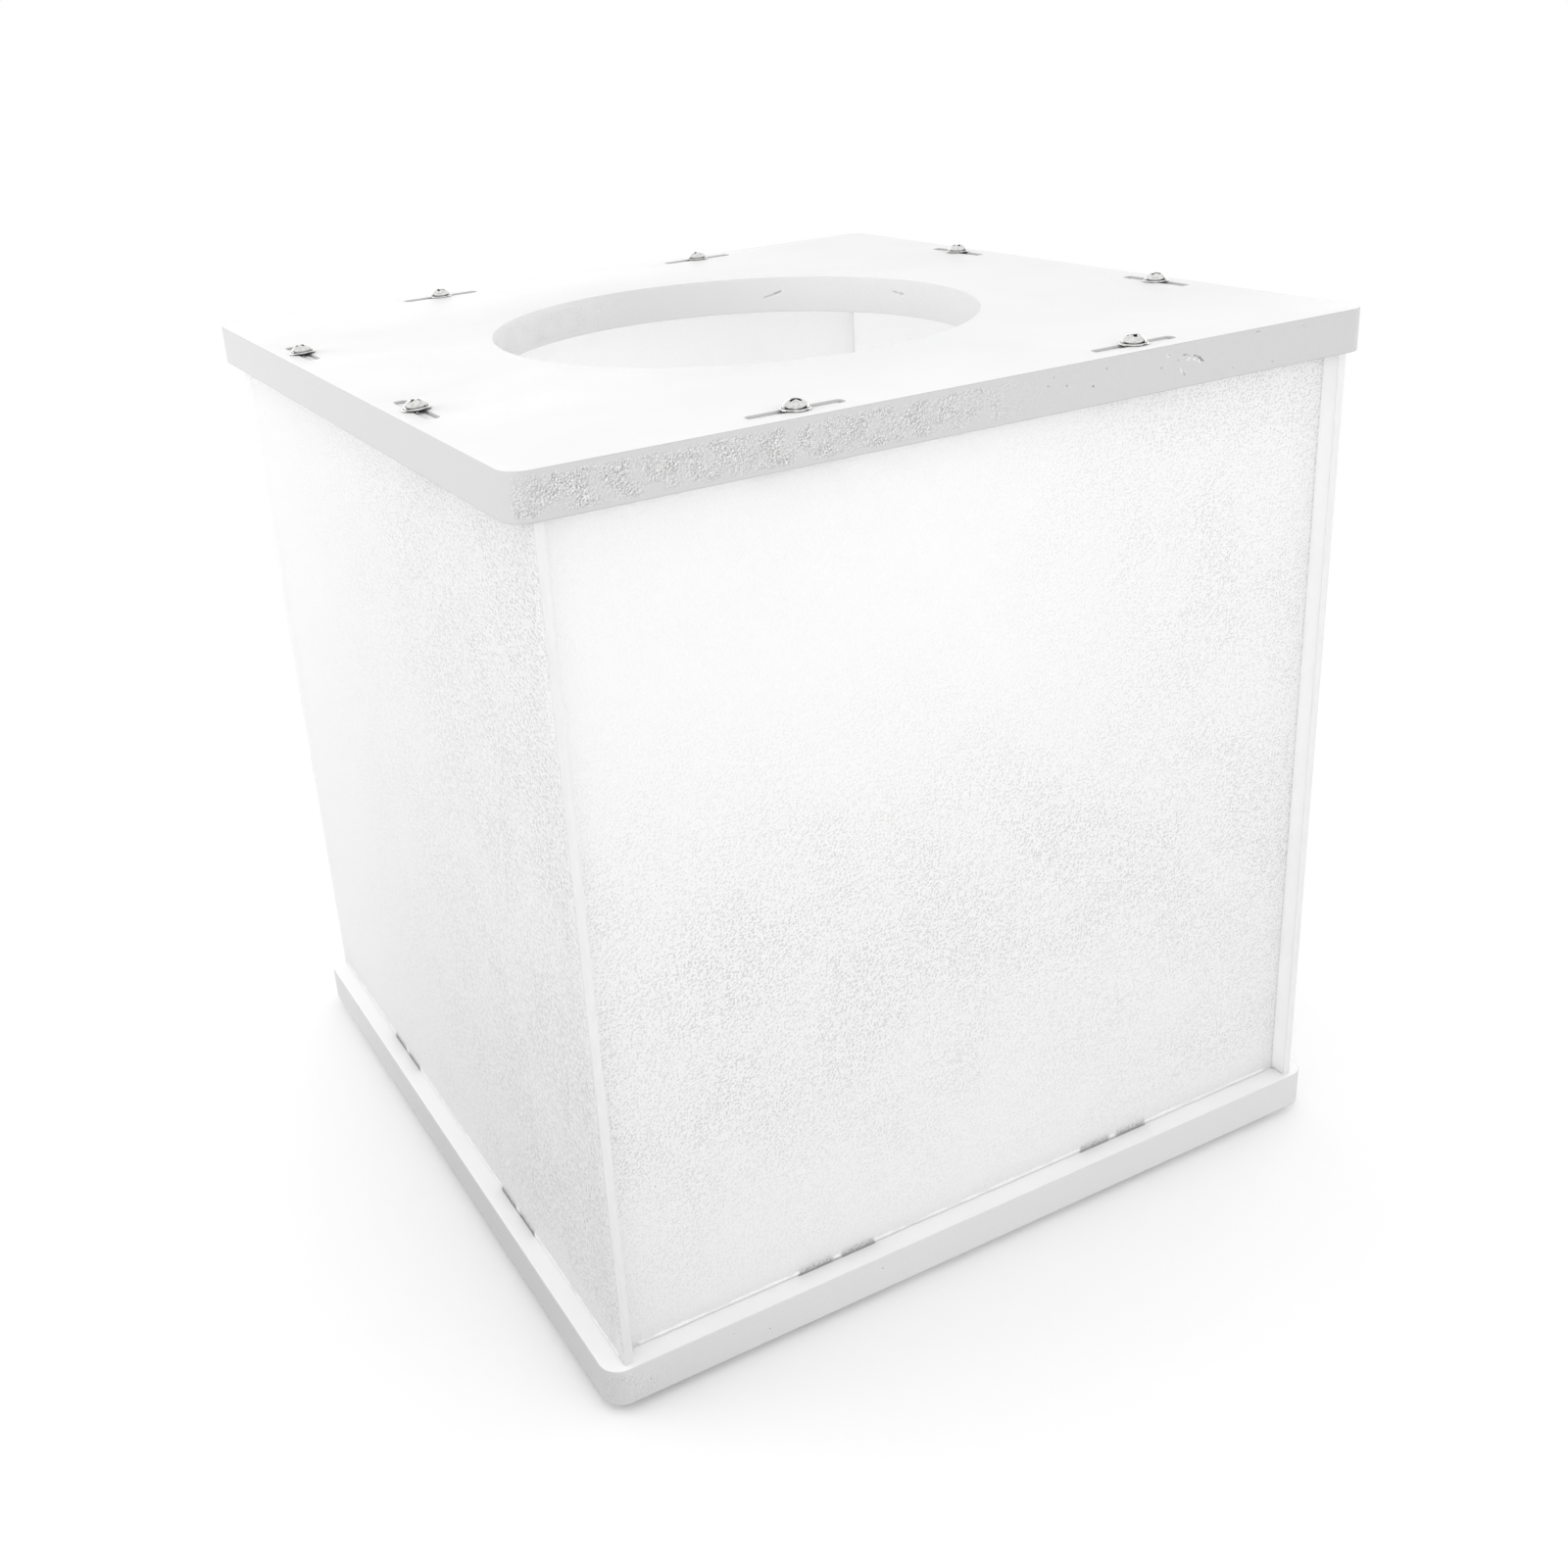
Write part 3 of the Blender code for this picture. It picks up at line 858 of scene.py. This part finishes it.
def slot_outline(x, y, way, width, radius):
    """Gives the outline of one slot, pointing into the slot."""
    drawn = rounded_outline(0, 0, SLOT_LENGTH, width, radius, slot_stops(width, radius))
    outline = []
    for along, across, out_along, out_across in drawn:
        if way == "X":
            outline.append((x + along, y + across, -out_along, -out_across))
        else:
            outline.append((x - across, y + along, out_across, -out_along))
    return outline


def hole_outline():
    """Gives the hand hole's circle, pointing to its middle."""
    count = round(2 * math.pi * HAND_HOLE_RADIUS / WALL_STEP)
    outline = []
    for step in range(count):
        angle = 2 * math.pi * step / count
        x, y = math.cos(angle), math.sin(angle)
        outline.append((HAND_HOLE_RADIUS * x, HAND_HOLE_RADIUS * y, -x, -y))
    return outline


def wall_rows(low, high, ease, rows):
    """Gives a wall's rows from the top face to the bottom face: inset, height and share of the core."""
    curve = []
    for step in range(EASE_ROWS):
        angle = math.pi / 2 * step / (EASE_ROWS - 1)
        curve.append((ease * (1 - math.sin(angle)), ease * (1 - math.cos(angle))))
    found = [(inset, high - drop, TOP_FILM_CORE) for inset, drop in curve]
    for row in range(1, rows):
        share = row / rows
        found.append((0.0, high - ease - (high - low - 2 * ease) * share, 1 - abs(2 * share - 1)))
    found += [(inset, low + drop, 0.0) for inset, drop in reversed(curve)]
    return found


def clamped(share):
    """Keeps a share between 0 and 1."""
    return max(0.0, min(1.0, share))


def torn_share(place, patches):
    """Gives how badly the foam is torn at a place on a cut edge."""
    share = 0.0
    for reach_x, reach_y, fades, strength in patches:
        gap = 0.0
        for value, (low, high), fade in zip(place, (reach_x, reach_y), fades):
            gap += (max(low - value, value - high, 0.0) / fade) ** 2
        share = max(share, strength * math.exp(-gap))
    return share


def gap_to_mark(place, start, end):
    """Gives the distance from a place to a mark's line."""
    line = end - start
    share = 0.0
    if line.length_squared > 0:
        share = clamped((place - start).dot(line) / line.length_squared)
    return (place - start - line * share).length


def surface_at(place, core, marks, patches, painted_light):
    """Gives a point of a cut edge its depth under the true wall, its torn share and its tone, which holds its
    painted light and its marks.
    """
    if core <= TOP_FILM_CORE:
        return 0.0, 0.0, painted_light
    band = clamped((core - SOUND_CORE) / CORE_FADE)
    cloud = clamped(TORN_CLOUD_MEAN + noise.noise(place / TORN_CLOUD_SIZE))
    torn = torn_share(place, patches) * band * cloud
    tear = TEAR_MEAN + TEAR_COARSE * noise.noise(place / TORN_SIZE)
    tear += TEAR_FINE * noise.noise(place / TORN_SIZE * TORN_FINER)
    depth = TORN_DEPTH * torn * max(0.0, tear)
    depth += CRUMB_DEPTH * band * abs(noise.noise(place / CRUMB_CLUMP))
    tone = painted_light
    for start, end, radius, dent, mark_tone in marks:
        if (start.xy - place.xy).length > MARK_REACH:
            continue
        gap = gap_to_mark(place, start, end) / radius
        if gap < MARK_SPREAD:
            share = math.exp(-(gap ** 2))
            depth += dent * share
            if share > abs(tone - painted_light):
                tone = painted_light + (mark_tone - painted_light) * share
            if mark_tone < 0:
                tone += RIM_TONE * math.exp(-(((gap - RIM_PLACE) / RIM_WIDTH) ** 2))
    return depth, torn, tone


def add_wall(mesh, outline, rows, marks=(), patches=(), painted_light=(0.0, 0.0)):
    """Adds a wall of rings to a board and gives its top and bottom rings."""
    layers = [mesh.verts.layers.float[name] for name in WALL_VALUES]
    heights = [height for inset, height, core in rows]

    def on_a_row(place):
        return Vector((place[0], place[1], min(heights, key=lambda height: abs(height - place[2]))))

    lines = [(on_a_row(start), on_a_row(end), radius, dent, tone) for start, end, radius, dent, tone in marks]
    rings = []
    for inset, height, core in rows:
        ring = []
        for x, y, out_x, out_y in outline:
            # Painted light by the way this point of the edge faces
            pale = painted_light[0] + (painted_light[1] - painted_light[0]) * min(1.0, SIDE_REACH * abs(out_x))
            depth, torn, tone = surface_at(Vector((x, y, height)), core, lines, patches, pale)
            vertex = mesh.verts.new((x - out_x * (inset + depth), y - out_y * (inset + depth), height))
            for layer, value in zip(layers, (core, torn, tone)):
                vertex[layer] = value
            ring.append(vertex)
        rings.append(ring)
    for face in join_rings(mesh, rings):
        face.material_index = 1
    return rings[0], rings[-1]


def ring_edges(mesh, ring):
    """Gives the edges along a ring."""
    return [mesh.edges.get((ring[step - 1], ring[step])) for step in range(len(ring))]


def foam_board(name, low, high, marks, patches, with_hole, painted_light, slot, finishes):
    """Makes a board with smooth faces, cut and torn edges, slots and perhaps the hand hole."""
    size = (high.x - low.x, high.y - low.y, BOARD_CORNER_RADIUS)
    middle_height = (low.z + high.z) / 2

    def outline_at(stop):
        return rounded_outline(0, 0, *size, [stop])[0]

    stops = edge_stops(outline_length(*size), outline_at, marks, patches, middle_height)
    edge = rounded_outline(0, 0, *size, stops)
    mesh = bmesh.new()
    for layer in WALL_VALUES:
        mesh.verts.layers.float.new(layer)
    main_rows = wall_rows(low.z, high.z, BOARD_EASE, WALL_ROWS)
    ends = [add_wall(mesh, edge, main_rows, marks, patches, painted_light)]
    if with_hole:
        ends.append(add_wall(mesh, hole_outline(), main_rows, marks, patches, HOLE_PAINTED_LIGHT))
    narrow_rows = wall_rows(low.z, high.z, SLOT_EASE, SLOT_ROWS)
    for place, x, y, way in SLOTS:
        ends.append(add_wall(mesh, slot_outline(x, y, way, *slot), narrow_rows))
    for side in (0, 1):
        edges = [edge for pair in ends for edge in ring_edges(mesh, pair[side])]
        bmesh.ops.triangle_fill(mesh, use_beauty=True, use_dissolve=False, edges=edges)
    bmesh.ops.recalc_face_normals(mesh, faces=mesh.faces)
    data = drawn_mesh(name, mesh)
    data.shade_smooth()
    data.set_sharp_from_angle(angle=SMOOTH_UP_TO)
    return new_piece(name, data, finishes)


def tabbed_edge(length, shoulder, root, tab_end, way):
    """Gives the top or foot of a panel's outline, with two tabs at each slot that start at their root."""
    reach = SLOT_LENGTH / 2 - SUNK_PLAY
    points = [(way * length / 2, shoulder)]
    for middle in (SLOT_MIDDLE, -SLOT_MIDDLE):
        if root != shoulder:
            points += [(way * (middle + reach), shoulder), (way * (middle + reach), root)]
        for first, last in ((TAB_PAIR_LENGTH / 2, TAB_GAP / 2), (-TAB_GAP / 2, -TAB_PAIR_LENGTH / 2)):
            points += [(way * (middle + first), root), (way * (middle + first), tab_end)]
            points += [(way * (middle + last), tab_end), (way * (middle + last), root)]
        if root != shoulder:
            points += [(way * (middle - reach), root), (way * (middle - reach), shoulder)]
    points.append((-way * length / 2, shoulder))
    return points


def panel_blank(name, across, length, middle, thickness, tab_low, tab_high):
    """Makes a panel with sharp edges. At its foot it sinks a little into each slot beside the tabs."""
    foot = BASE_HIGH.z + SHOULDER_GAP
    top = LID_LOW.z - SHOULDER_GAP
    outline = tabbed_edge(length, top, top, tab_high, 1)
    outline += tabbed_edge(length, foot, foot - SUNK_DEPTH, tab_low, -1)
    mesh = bmesh.new()
    ring = []
    for along, up in outline:
        place = [0, 0, up]
        place[1 - across] = along
        place[across] = middle - thickness / 2
        ring.append(mesh.verts.new(place))
    face = mesh.faces.new(ring)
    grown = bmesh.ops.extrude_face_region(mesh, geom=[face])["geom"]
    shift = Vector((0, 0, 0))
    shift[across] = thickness
    far_face = [part for part in grown if isinstance(part, bmesh.types.BMVert)]
    bmesh.ops.translate(mesh, verts=far_face, vec=shift)
    bmesh.ops.recalc_face_normals(mesh, faces=mesh.faces)
    data = drawn_mesh(name + "_blank", mesh)
    data.shade_smooth()
    return placed_object(name + "_blank", data)


def frosted_panel(name, node, finishes):
    """Makes a panel with eased edges, a pebbled outer face, a smooth inner face and burrs at its foot."""
    low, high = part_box(node)
    across = 1 if high.y - low.y < high.x - low.x else 0
    length = high[1 - across] - low[1 - across]
    thickness = high[across] - low[across]
    middle = (low[across] + high[across]) / 2
    blank = panel_blank(name, across, length, middle, thickness, low.z - TAB_RISE, high.z + TAB_RISE)
    ease = blank.modifiers.new("Eased edges", "BEVEL")
    ease.width = PANEL_EASE
    ease.segments = PANEL_EASE_STEPS
    ease.limit_method = "ANGLE"
    ease.harden_normals = True
    eased = plain_mesh(name, blank)
    piece = new_piece(name, eased, finishes)
    for polygon in eased.polygons:
        faces_out = polygon.normal[across] * middle
        in_a_board = not BASE_HIGH.z < polygon.center.z < LID_LOW.z
        polygon.material_index = 1
        if abs(faces_out) > FLAT * abs(middle):
            polygon.material_index = 0 if faces_out > 0 else 2
        elif in_a_board and abs(polygon.normal.z) > FLAT:
            polygon.material_index = 3
    add_burrs(eased, across, middle, thickness, length)
    return piece


def burr_stretches(length):
    """Gives the stretches of a panel's foot between its tabs and its ends."""
    stops = [-length / 2 + BURR_END_GAP]
    for middle in (-SLOT_MIDDLE, SLOT_MIDDLE):
        for gap in (-TAB_PAIR_LENGTH / 2, -TAB_GAP / 2, TAB_GAP / 2, TAB_PAIR_LENGTH / 2):
            stops.append(middle + gap)
    stops.append(length / 2 - BURR_END_GAP)
    return list(zip(stops[::2], stops[1::2]))


def burr_ring(mesh, across, middle, thickness, side, along, shrink):
    """Adds one ring of points of a burr, whose size and place waver along the panel's foot."""
    by_side, by_way, by_middle = BURR_WANDER_PARTS
    sampled = Vector((along / BURR_WANDER_SIZE, side * by_side + across * by_way, middle * by_middle))
    wander = noise.noise(sampled)
    radius = BURR_RADIUS * shrink * (1 + BURR_WANDER * wander)
    height = BASE_HIGH.z + BURR_CLEARANCE + BURR_RADIUS * (BURR_LIFT + BURR_WANDER * wander)
    depth = middle + side * (thickness / 2 - BURR_RADIUS + BURR_PROUD * (1 + BURR_PROUD_WANDER * wander))
    ring = []
    for turn in range(BURR_SIDES):
        angle = 2 * math.pi * turn / BURR_SIDES
        place = [0, 0, height + radius * math.sin(angle)]
        place[1 - across] = along
        place[across] = depth + side * radius * math.cos(angle)
        ring.append(mesh.verts.new(place))
    return ring


def add_burrs(data, across, middle, thickness, length):
    """Adds the thin wavering burr that the saw leaves along a panel's foot, on both faces."""
    mesh = bmesh.new()
    mesh.from_mesh(data)
    for side in (-1, 1):
        for start, end in burr_stretches(length):
            count = max(2, round((end - start) / BURR_STEP))
            rings = []
            for step in range(count + 1):
                along = start + (end - start) * step / count
                shrink = BURR_END_SHRINK if step in (0, count) else 1.0
                rings.append(burr_ring(mesh, across, middle, thickness, side, along, shrink))
            faces = join_rings(mesh, rings)
            faces += [mesh.faces.new(rings[0]), mesh.faces.new(rings[-1])]
            bmesh.ops.recalc_face_normals(mesh, faces=faces)
            for face in faces:
                face.material_index = 3
                face.smooth = True
    mesh.to_mesh(data)
    mesh.free()


def turned_head():
    """Turns the head's section about Z into a closed solid."""
    mesh = bmesh.new()
    crown = mesh.verts.new((0, 0, HEAD_SECTION[0][1]))
    rings = []
    for radius, height in HEAD_SECTION[1:]:
        ring = []
        for step in range(HEAD_STEPS):
            angle = 2 * math.pi * step / HEAD_STEPS
            ring.append(mesh.verts.new((radius * math.cos(angle), radius * math.sin(angle), height)))
        rings.append(ring)
    join_to_point(mesh, rings[0], crown)
    join_rings(mesh, rings)
    mesh.faces.new(rings[-1])
    bmesh.ops.recalc_face_normals(mesh, faces=mesh.faces)
    return mesh


def recess_mesh():
    """Makes the tapered cross that is cut into a screw's crown; it starts a little above the crown."""
    mouth_reach, mouth_width, over = RECESS_OVER_CROWN
    rows = [(mouth_reach, mouth_width, HEAD_HEIGHT + over)]
    rows += [(reach, width, HEAD_HEIGHT - sunk * RECESS_DEPTH) for reach, width, sunk in RECESS_ROWS]
    mesh = bmesh.new()
    rings = []
    for reach_share, width_share, height in rows:
        reach = RECESS_REACH * reach_share
        root = RECESS_ROOT * width_share
        tip = RECESS_TIP * width_share
        ring = []
        for quarter in range(4):
            turn = Matrix.Rotation(quarter * math.pi / 2, 3, "Z")
            for x, y in ((reach, -tip), (reach, tip), (root, root)):
                ring.append(mesh.verts.new(turn @ Vector((x, y, height))))
        rings.append(ring)
    join_rings(mesh, rings)
    mesh.faces.new(rings[0])
    mesh.faces.new(rings[-1])
    bmesh.ops.recalc_face_normals(mesh, faces=mesh.faces)
    return mesh


def crown_height(radius):
    """Gives the height of the head's own surface at this distance from its middle."""
    for (inner, upper), (outer, lower) in zip(HEAD_SECTION, HEAD_SECTION[1:]):
        if inner <= radius <= outer:
            return upper + (lower - upper) * (radius - inner) / (outer - inner)
    return 0.0


def paint_crease_shade(data):
    """Paints shade into the recess, the root of the dome and the flange's foot."""
    crease_shade = data.attributes.new("crease_shade", "FLOAT", "POINT")
    foot_low, foot_high = FLANGE_FOOT
    for value, vertex in zip(crease_shade.data, data.vertices):
        radius = math.hypot(vertex.co.x, vertex.co.y)
        on_dome = vertex.co.z > FLANGE_TOP
        sunk = crown_height(radius) - vertex.co.z if radius < CROWN_REACH and on_dome else 0.0
        at_root = max(0.0, 1 - abs(radius - DOME_ROOT) / DOME_ROOT_WIDTH) if on_dome else 0.0
        at_foot = 1.0 if foot_low < vertex.co.z < foot_high and radius > FLANGE_FOOT_REACH else 0.0
        value.value = min(1.0, max(sunk / CREASE_SHADE_DEPTH, CREASE_SHADE_SHARE * at_root, CREASE_SHADE_SHARE * at_foot))


def thread_mesh():
    """Makes the shank with its thread and point."""
    length = SCREW_REACH - SHANK_START
    rows = round(length / THREAD_PITCH * THREAD_ROWS)
    rings = []
    mesh = bmesh.new()
    for row in range(rows):
        height = -SHANK_START - (length - SHANK_START) * row / rows
        taper = min(1.0, (height + SCREW_REACH) / POINT_LENGTH)
        ring = []
        for step in range(THREAD_STEPS):
            angle = 2 * math.pi * step / THREAD_STEPS
            phase = (height / THREAD_PITCH + angle / (2 * math.pi)) % 1.0
            ridge = max(0.0, 1 - abs(phase - 0.5) * THREAD_SHARPNESS)
            radius = (THREAD_CORE + (THREAD_RADIUS - THREAD_CORE) * ridge) * taper
            ring.append(mesh.verts.new((radius * math.cos(angle), radius * math.sin(angle), height)))
        rings.append(ring)
    join_rings(mesh, rings)
    join_to_point(mesh, rings[-1], mesh.verts.new((0, 0, -SCREW_REACH)))
    mesh.faces.new(rings[0])
    bmesh.ops.recalc_face_normals(mesh, faces=mesh.faces)
    return mesh


def master_screw():
    """Makes one screw about +Z with its seat at zero: head, recess, thread and point."""
    head = placed_object("screw_head", drawn_mesh("screw_head", turned_head()))
    recess = placed_object("screw_recess", drawn_mesh("screw_recess", recess_mesh()))
    thread = placed_object("screw_thread", drawn_mesh("screw_thread", thread_mesh()))
    for name, operation, other in (("Shank", "UNION", thread), ("Recess", "DIFFERENCE", recess)):
        cut = head.modifiers.new(name, "BOOLEAN")
        cut.operation = operation
        cut.solver = "EXACT"
        cut.object = other
    data = plain_mesh("screw", head, recess, thread)
    paint_crease_shade(data)
    data.shade_smooth()
    data.set_sharp_from_angle(angle=SMOOTH_UP_TO)
    return placed_object("screw", data)


def screw_setting_tree():
    """Builds the node tree that drives a screw into every seat, each turned and leaning as its seat says."""
    tree = bpy.data.node_groups.new("screw_setting", "GeometryNodeTree")
    for name, kind in (
        ("Seats", "NodeSocketGeometry"),
        ("Screw", "NodeSocketObject"),
        ("Finish", "NodeSocketMaterial"),
        ("Seat Play", "NodeSocketFloat"),
        ("Seed", "NodeSocketInt"),
    ):
        tree.interface.new_socket(name, in_out="INPUT", socket_type=kind)
    tree.interface.new_socket("Screws", in_out="OUTPUT", socket_type="NodeSocketGeometry")
    given = tree.nodes.new("NodeGroupInput").outputs
    result = tree.nodes.new("NodeGroupOutput").inputs
    source = add_node(tree, "GeometryNodeObjectInfo")
    tree.links.new(given["Screw"], source.inputs["Object"])
    source.inputs["As Instance"].default_value = True
    stand = add_node(tree, "GeometryNodeInputNamedAttribute", data_type="FLOAT_VECTOR")
    stand.inputs["Name"].default_value = "stand"
    play = add_node(tree, "FunctionNodeRandomValue", data_type="FLOAT_VECTOR")
    spread = add_node(tree, "ShaderNodeVectorMath", operation="SCALE")
    spread.inputs[0].default_value = (1.0, 1.0, 0.0)
    tree.links.new(given["Seat Play"], spread.inputs["Scale"])
    back = add_node(tree, "ShaderNodeVectorMath", operation="SCALE")
    tree.links.new(spread.outputs[0], back.inputs[0])
    back.inputs["Scale"].default_value = -1.0
    tree.links.new(back.outputs[0], play.inputs["Min"])
    tree.links.new(spread.outputs[0], play.inputs["Max"])
    tree.links.new(given["Seed"], play.inputs["Seed"])
    lean = add_node(tree, "ShaderNodeVectorMath", operation="ADD")
    tree.links.new(stand.outputs["Attribute"], lean.inputs[0])
    tree.links.new(play.outputs["Value"], lean.inputs[1])
    driven = add_node(tree, "GeometryNodeInstanceOnPoints")
    tree.links.new(given["Seats"], driven.inputs["Points"])
    tree.links.new(source.outputs["Geometry"], driven.inputs["Instance"])
    tree.links.new(lean.outputs[0], driven.inputs["Rotation"])
    real = add_node(tree, "GeometryNodeRealizeInstances")
    tree.links.new(driven.outputs["Instances"], real.inputs["Geometry"])
    coated = add_node(tree, "GeometryNodeSetMaterial")
    tree.links.new(real.outputs["Geometry"], coated.inputs["Geometry"])
    tree.links.new(given["Finish"], coated.inputs["Material"])
    tree.links.new(coated.outputs["Geometry"], result["Screws"])
    return tree


def set_of_screws(name, seats, tree, screw, finish, seed):
    """Sets a body's screws on their seats as one plain mesh. A seat is its place and the screw's stand."""
    points = bpy.data.meshes.new(name + "_seats")
    points.from_pydata([place for place, stand in seats], [], [])
    stands = points.attributes.new("stand", "FLOAT_VECTOR", "POINT")
    for row, (place, stand) in zip(stands.data, seats):
        row.vector = stand
    holder = placed_object(name + "_seats", points)
    setting = holder.modifiers.new("Screws", "NODES")
    setting.node_group = tree
    values = {"Screw": screw, "Finish": finish, "Seat Play": SEAT_PLAY, "Seed": seed}
    for item in tree.interface.items_tree:
        if item.item_type == "SOCKET" and item.in_out == "INPUT" and item.name in values:
            setting[item.identifier] = values[item.name]
    return placed_object(name, plain_mesh(name, holder))


def make_screws(finish):
    """Makes the lid's and the base's screws."""
    screw = master_screw()
    tree = screw_setting_tree()
    lid_seats = []
    base_seats = []
    for index, (place, x, y, way) in enumerate(SLOTS):
        turn, lean_x, lean_y = (math.radians(angle) for angle in LID_STANDS[place])
        lean = Matrix.Rotation(lean_y, 3, "Y") @ Matrix.Rotation(lean_x, 3, "X")
        stand = lean @ Matrix.Rotation(turn, 3, "Z")
        lift = LEAN_LIFT if abs(lean_x) > SEAT_PLAY * 2 else 0.0
        lid_seats.append(((x, y, LID_HIGH.z + SEAT_GAP + lift), stand.to_euler()))
        base_seats.append(((x, y, BASE_LOW.z - SEAT_GAP), (math.pi, 0, index * BASE_TURN_STEP)))
    lid_screws = set_of_screws("lid_screws", lid_seats, tree, screw, finish, LID_SEED)
    base_screws = set_of_screws("base_screws", base_seats, tree, screw, finish, BASE_SEED)
    bpy.data.objects.remove(screw, do_unlink=True)
    return lid_screws, base_screws


def floor_finish():
    """The floor: pale, and white away from the box where the camera or a mirroring surface sees it."""
    finish, tree, shader = new_finish("studio_floor")
    shader.inputs["Roughness"].default_value = FLOOR_ROUGHNESS
    shader.inputs["Specular IOR Level"].default_value = FLOOR_SHINE
    places = places_on(tree)
    away = ramp(tree, changed(tree, "DISTANCE", places, (0, 0, 0)), *FLOOR_FADE)
    path = add_node(tree, "ShaderNodeLightPath").outputs
    on_card = ramp(tree, changed(tree, "DISTANCE", places, DARK_CARD_PLACE), *DARK_CARD_REACH, 1.0, 0.0)
    dark = product(tree, maths(tree, "SUBTRACT", 1.0, path["Is Camera Ray"]), on_card)
    feed(tree, shader.inputs["Base Color"], blend(tree, dark, grey(FLOOR_TONE), grey(DARK_CARD_TONE)))
    seen = maths(tree, "MAXIMUM", path["Is Camera Ray"], path["Is Glossy Ray"])
    white = add_node(tree, "ShaderNodeEmission")
    mixed = add_node(tree, "ShaderNodeMixShader")
    tree.links.new(product(tree, away, seen), mixed.inputs[0])
    tree.links.new(shader.outputs[0], mixed.inputs[1])
    tree.links.new(white.outputs[0], mixed.inputs[2])
    tree.links.new(mixed.outputs[0], tree.nodes["Material Output"].inputs["Surface"])
    return finish


def studio_floor():
    """Lays a pale floor that goes over into the white background away from the box."""
    mesh = bmesh.new()
    bmesh.ops.create_circle(mesh, cap_ends=True, segments=FLOOR_CORNERS, radius=FLOOR_RADIUS)
    floor = new_piece("studio_floor", drawn_mesh("studio_floor", mesh), [floor_finish()])


def studio_world():
    """Fills the room with even light, white to the camera; metal also mirrors a dim band at its front."""
    world = bpy.data.worlds.new("studio")
    world.use_nodes = True
    tree = world.node_tree
    bpy.context.scene.world = world
    room = tree.nodes["Background"].inputs
    room["Color"].default_value = grey(1)
    x, y, z = parted(tree, add_node(tree, "ShaderNodeTexCoord").outputs["Generated"])
    in_band = product(tree, ramp(tree, z, *BAND_FOOT), ramp(tree, z, *BAND_TOP, 1.0, 0.0))
    rightwards, backwards = BAND_FRONT
    away = maths(tree, "MULTIPLY_ADD", x, rightwards, product(tree, y, backwards))
    dim = product(tree, in_band, ramp(tree, away, *BAND_SIDES))
    mirrored = maths(tree, "MULTIPLY_ADD", dim, -BAND_DIMMING, 1.0)
    path = add_node(tree, "ShaderNodeLightPath").outputs
    plain = maths(tree, "MULTIPLY_ADD", path["Is Camera Ray"], 1 - ROOM_LIGHT, ROOM_LIGHT)
    glossy = path["Is Glossy Ray"]
    not_glossy = maths(tree, "SUBTRACT", 1.0, glossy)
    strength = maths(tree, "MULTIPLY_ADD", not_glossy, plain, product(tree, glossy, mirrored))
    tree.links.new(strength, room["Strength"])


def studio_lamps():
    """Hangs every soft lamp of the studio, each looking at a point."""
    for name, (place, aim, width, height, power) in LAMPS.items():
        lamp = bpy.data.lights.new(name, "AREA")
        lamp.shape = "RECTANGLE"
        lamp.size = width
        lamp.size_y = height
        lamp.energy = power
        holder = placed_object(name, lamp)
        holder.location = place
        holder.rotation_euler = (Vector(aim) - Vector(place)).to_track_quat("-Z", "Y").to_euler()


def studio_camera():
    """Sets the camera where the picture was taken from."""
    data = bpy.data.cameras.new("camera")
    data.sensor_width = SENSOR_WIDTH
    data.lens = FOCAL_PIXELS / PHOTO_SIZE * SENSOR_WIDTH
    data.shift_x = (PHOTO_SIZE / 2 - CENTRE_PIXEL[0]) / PHOTO_SIZE
    data.shift_y = (CENTRE_PIXEL[1] - PHOTO_SIZE / 2) / PHOTO_SIZE
    data.clip_start, data.clip_end = CAMERA_REACH
    camera = placed_object("camera", data)
    turn = Matrix.Rotation(-CAMERA_AZIMUTH, 4, "Z") @ Matrix.Rotation(math.pi / 2 - CAMERA_TILT, 4, "X")
    turn = turn @ Matrix.Rotation(CAMERA_ROLL, 4, "Z")
    camera.matrix_world = Matrix.Translation(CAMERA_PLACE) @ turn
    bpy.context.scene.camera = camera


def dress_box():
    """Replaces the plain solids by finished pieces, each on its body."""
    foam = (foam_skin_finish(), foam_cut_finish())
    cut_edge = smooth_sheet_finish("sheet_edge", EDGE_TONES, EDGE_LIGHT_SHARE)
    burr = smooth_sheet_finish("sheet_burr", BURR_TONES, BURR_LIGHT_SHARE)
    sheet = (pebbled_finish(), cut_edge, inner_face_finish(), burr)
    marks = [*on_front(LID_FRONT_MARKS), *HAND_HOLE_MARKS]
    look = (marks, LID_TORN, True, LID_PAINTED_LIGHT, LID_SLOT)
    lid = foam_board("lid_foam_board", LID_LOW, LID_HIGH, *look, foam)
    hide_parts("lid_board")
    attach(lid, "lid")
    marks = [*on_front(BASE_FRONT_MARKS), *BASE_LEFT_MARKS]
    look = (marks, BASE_TORN, False, BASE_PAINTED_LIGHT, BASE_SLOT)
    base = foam_board("base_foam_board", BASE_LOW, BASE_HIGH, *look, foam)
    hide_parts("base_board")
    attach(base, "box")
    for side in ("front", "back", "left", "right"):
        panel = frosted_panel(side + "_frosted_panel", side + "_panel", sheet)
        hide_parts(side + "_panel")
        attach(panel, "box")
    lid_screws, base_screws = make_screws(zinc_finish())
    for screws, body in ((lid_screws, "lid"), (base_screws, "box")):
        prefix = "lid_screw_" if body == "lid" else "base_screw_"
        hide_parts(*[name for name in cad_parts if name.startswith(prefix)])
        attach(screws, body)


dress_box()
studio_floor()
studio_world()
studio_lamps()
studio_camera()
bpy.context.scene.view_settings.view_transform = "Standard"
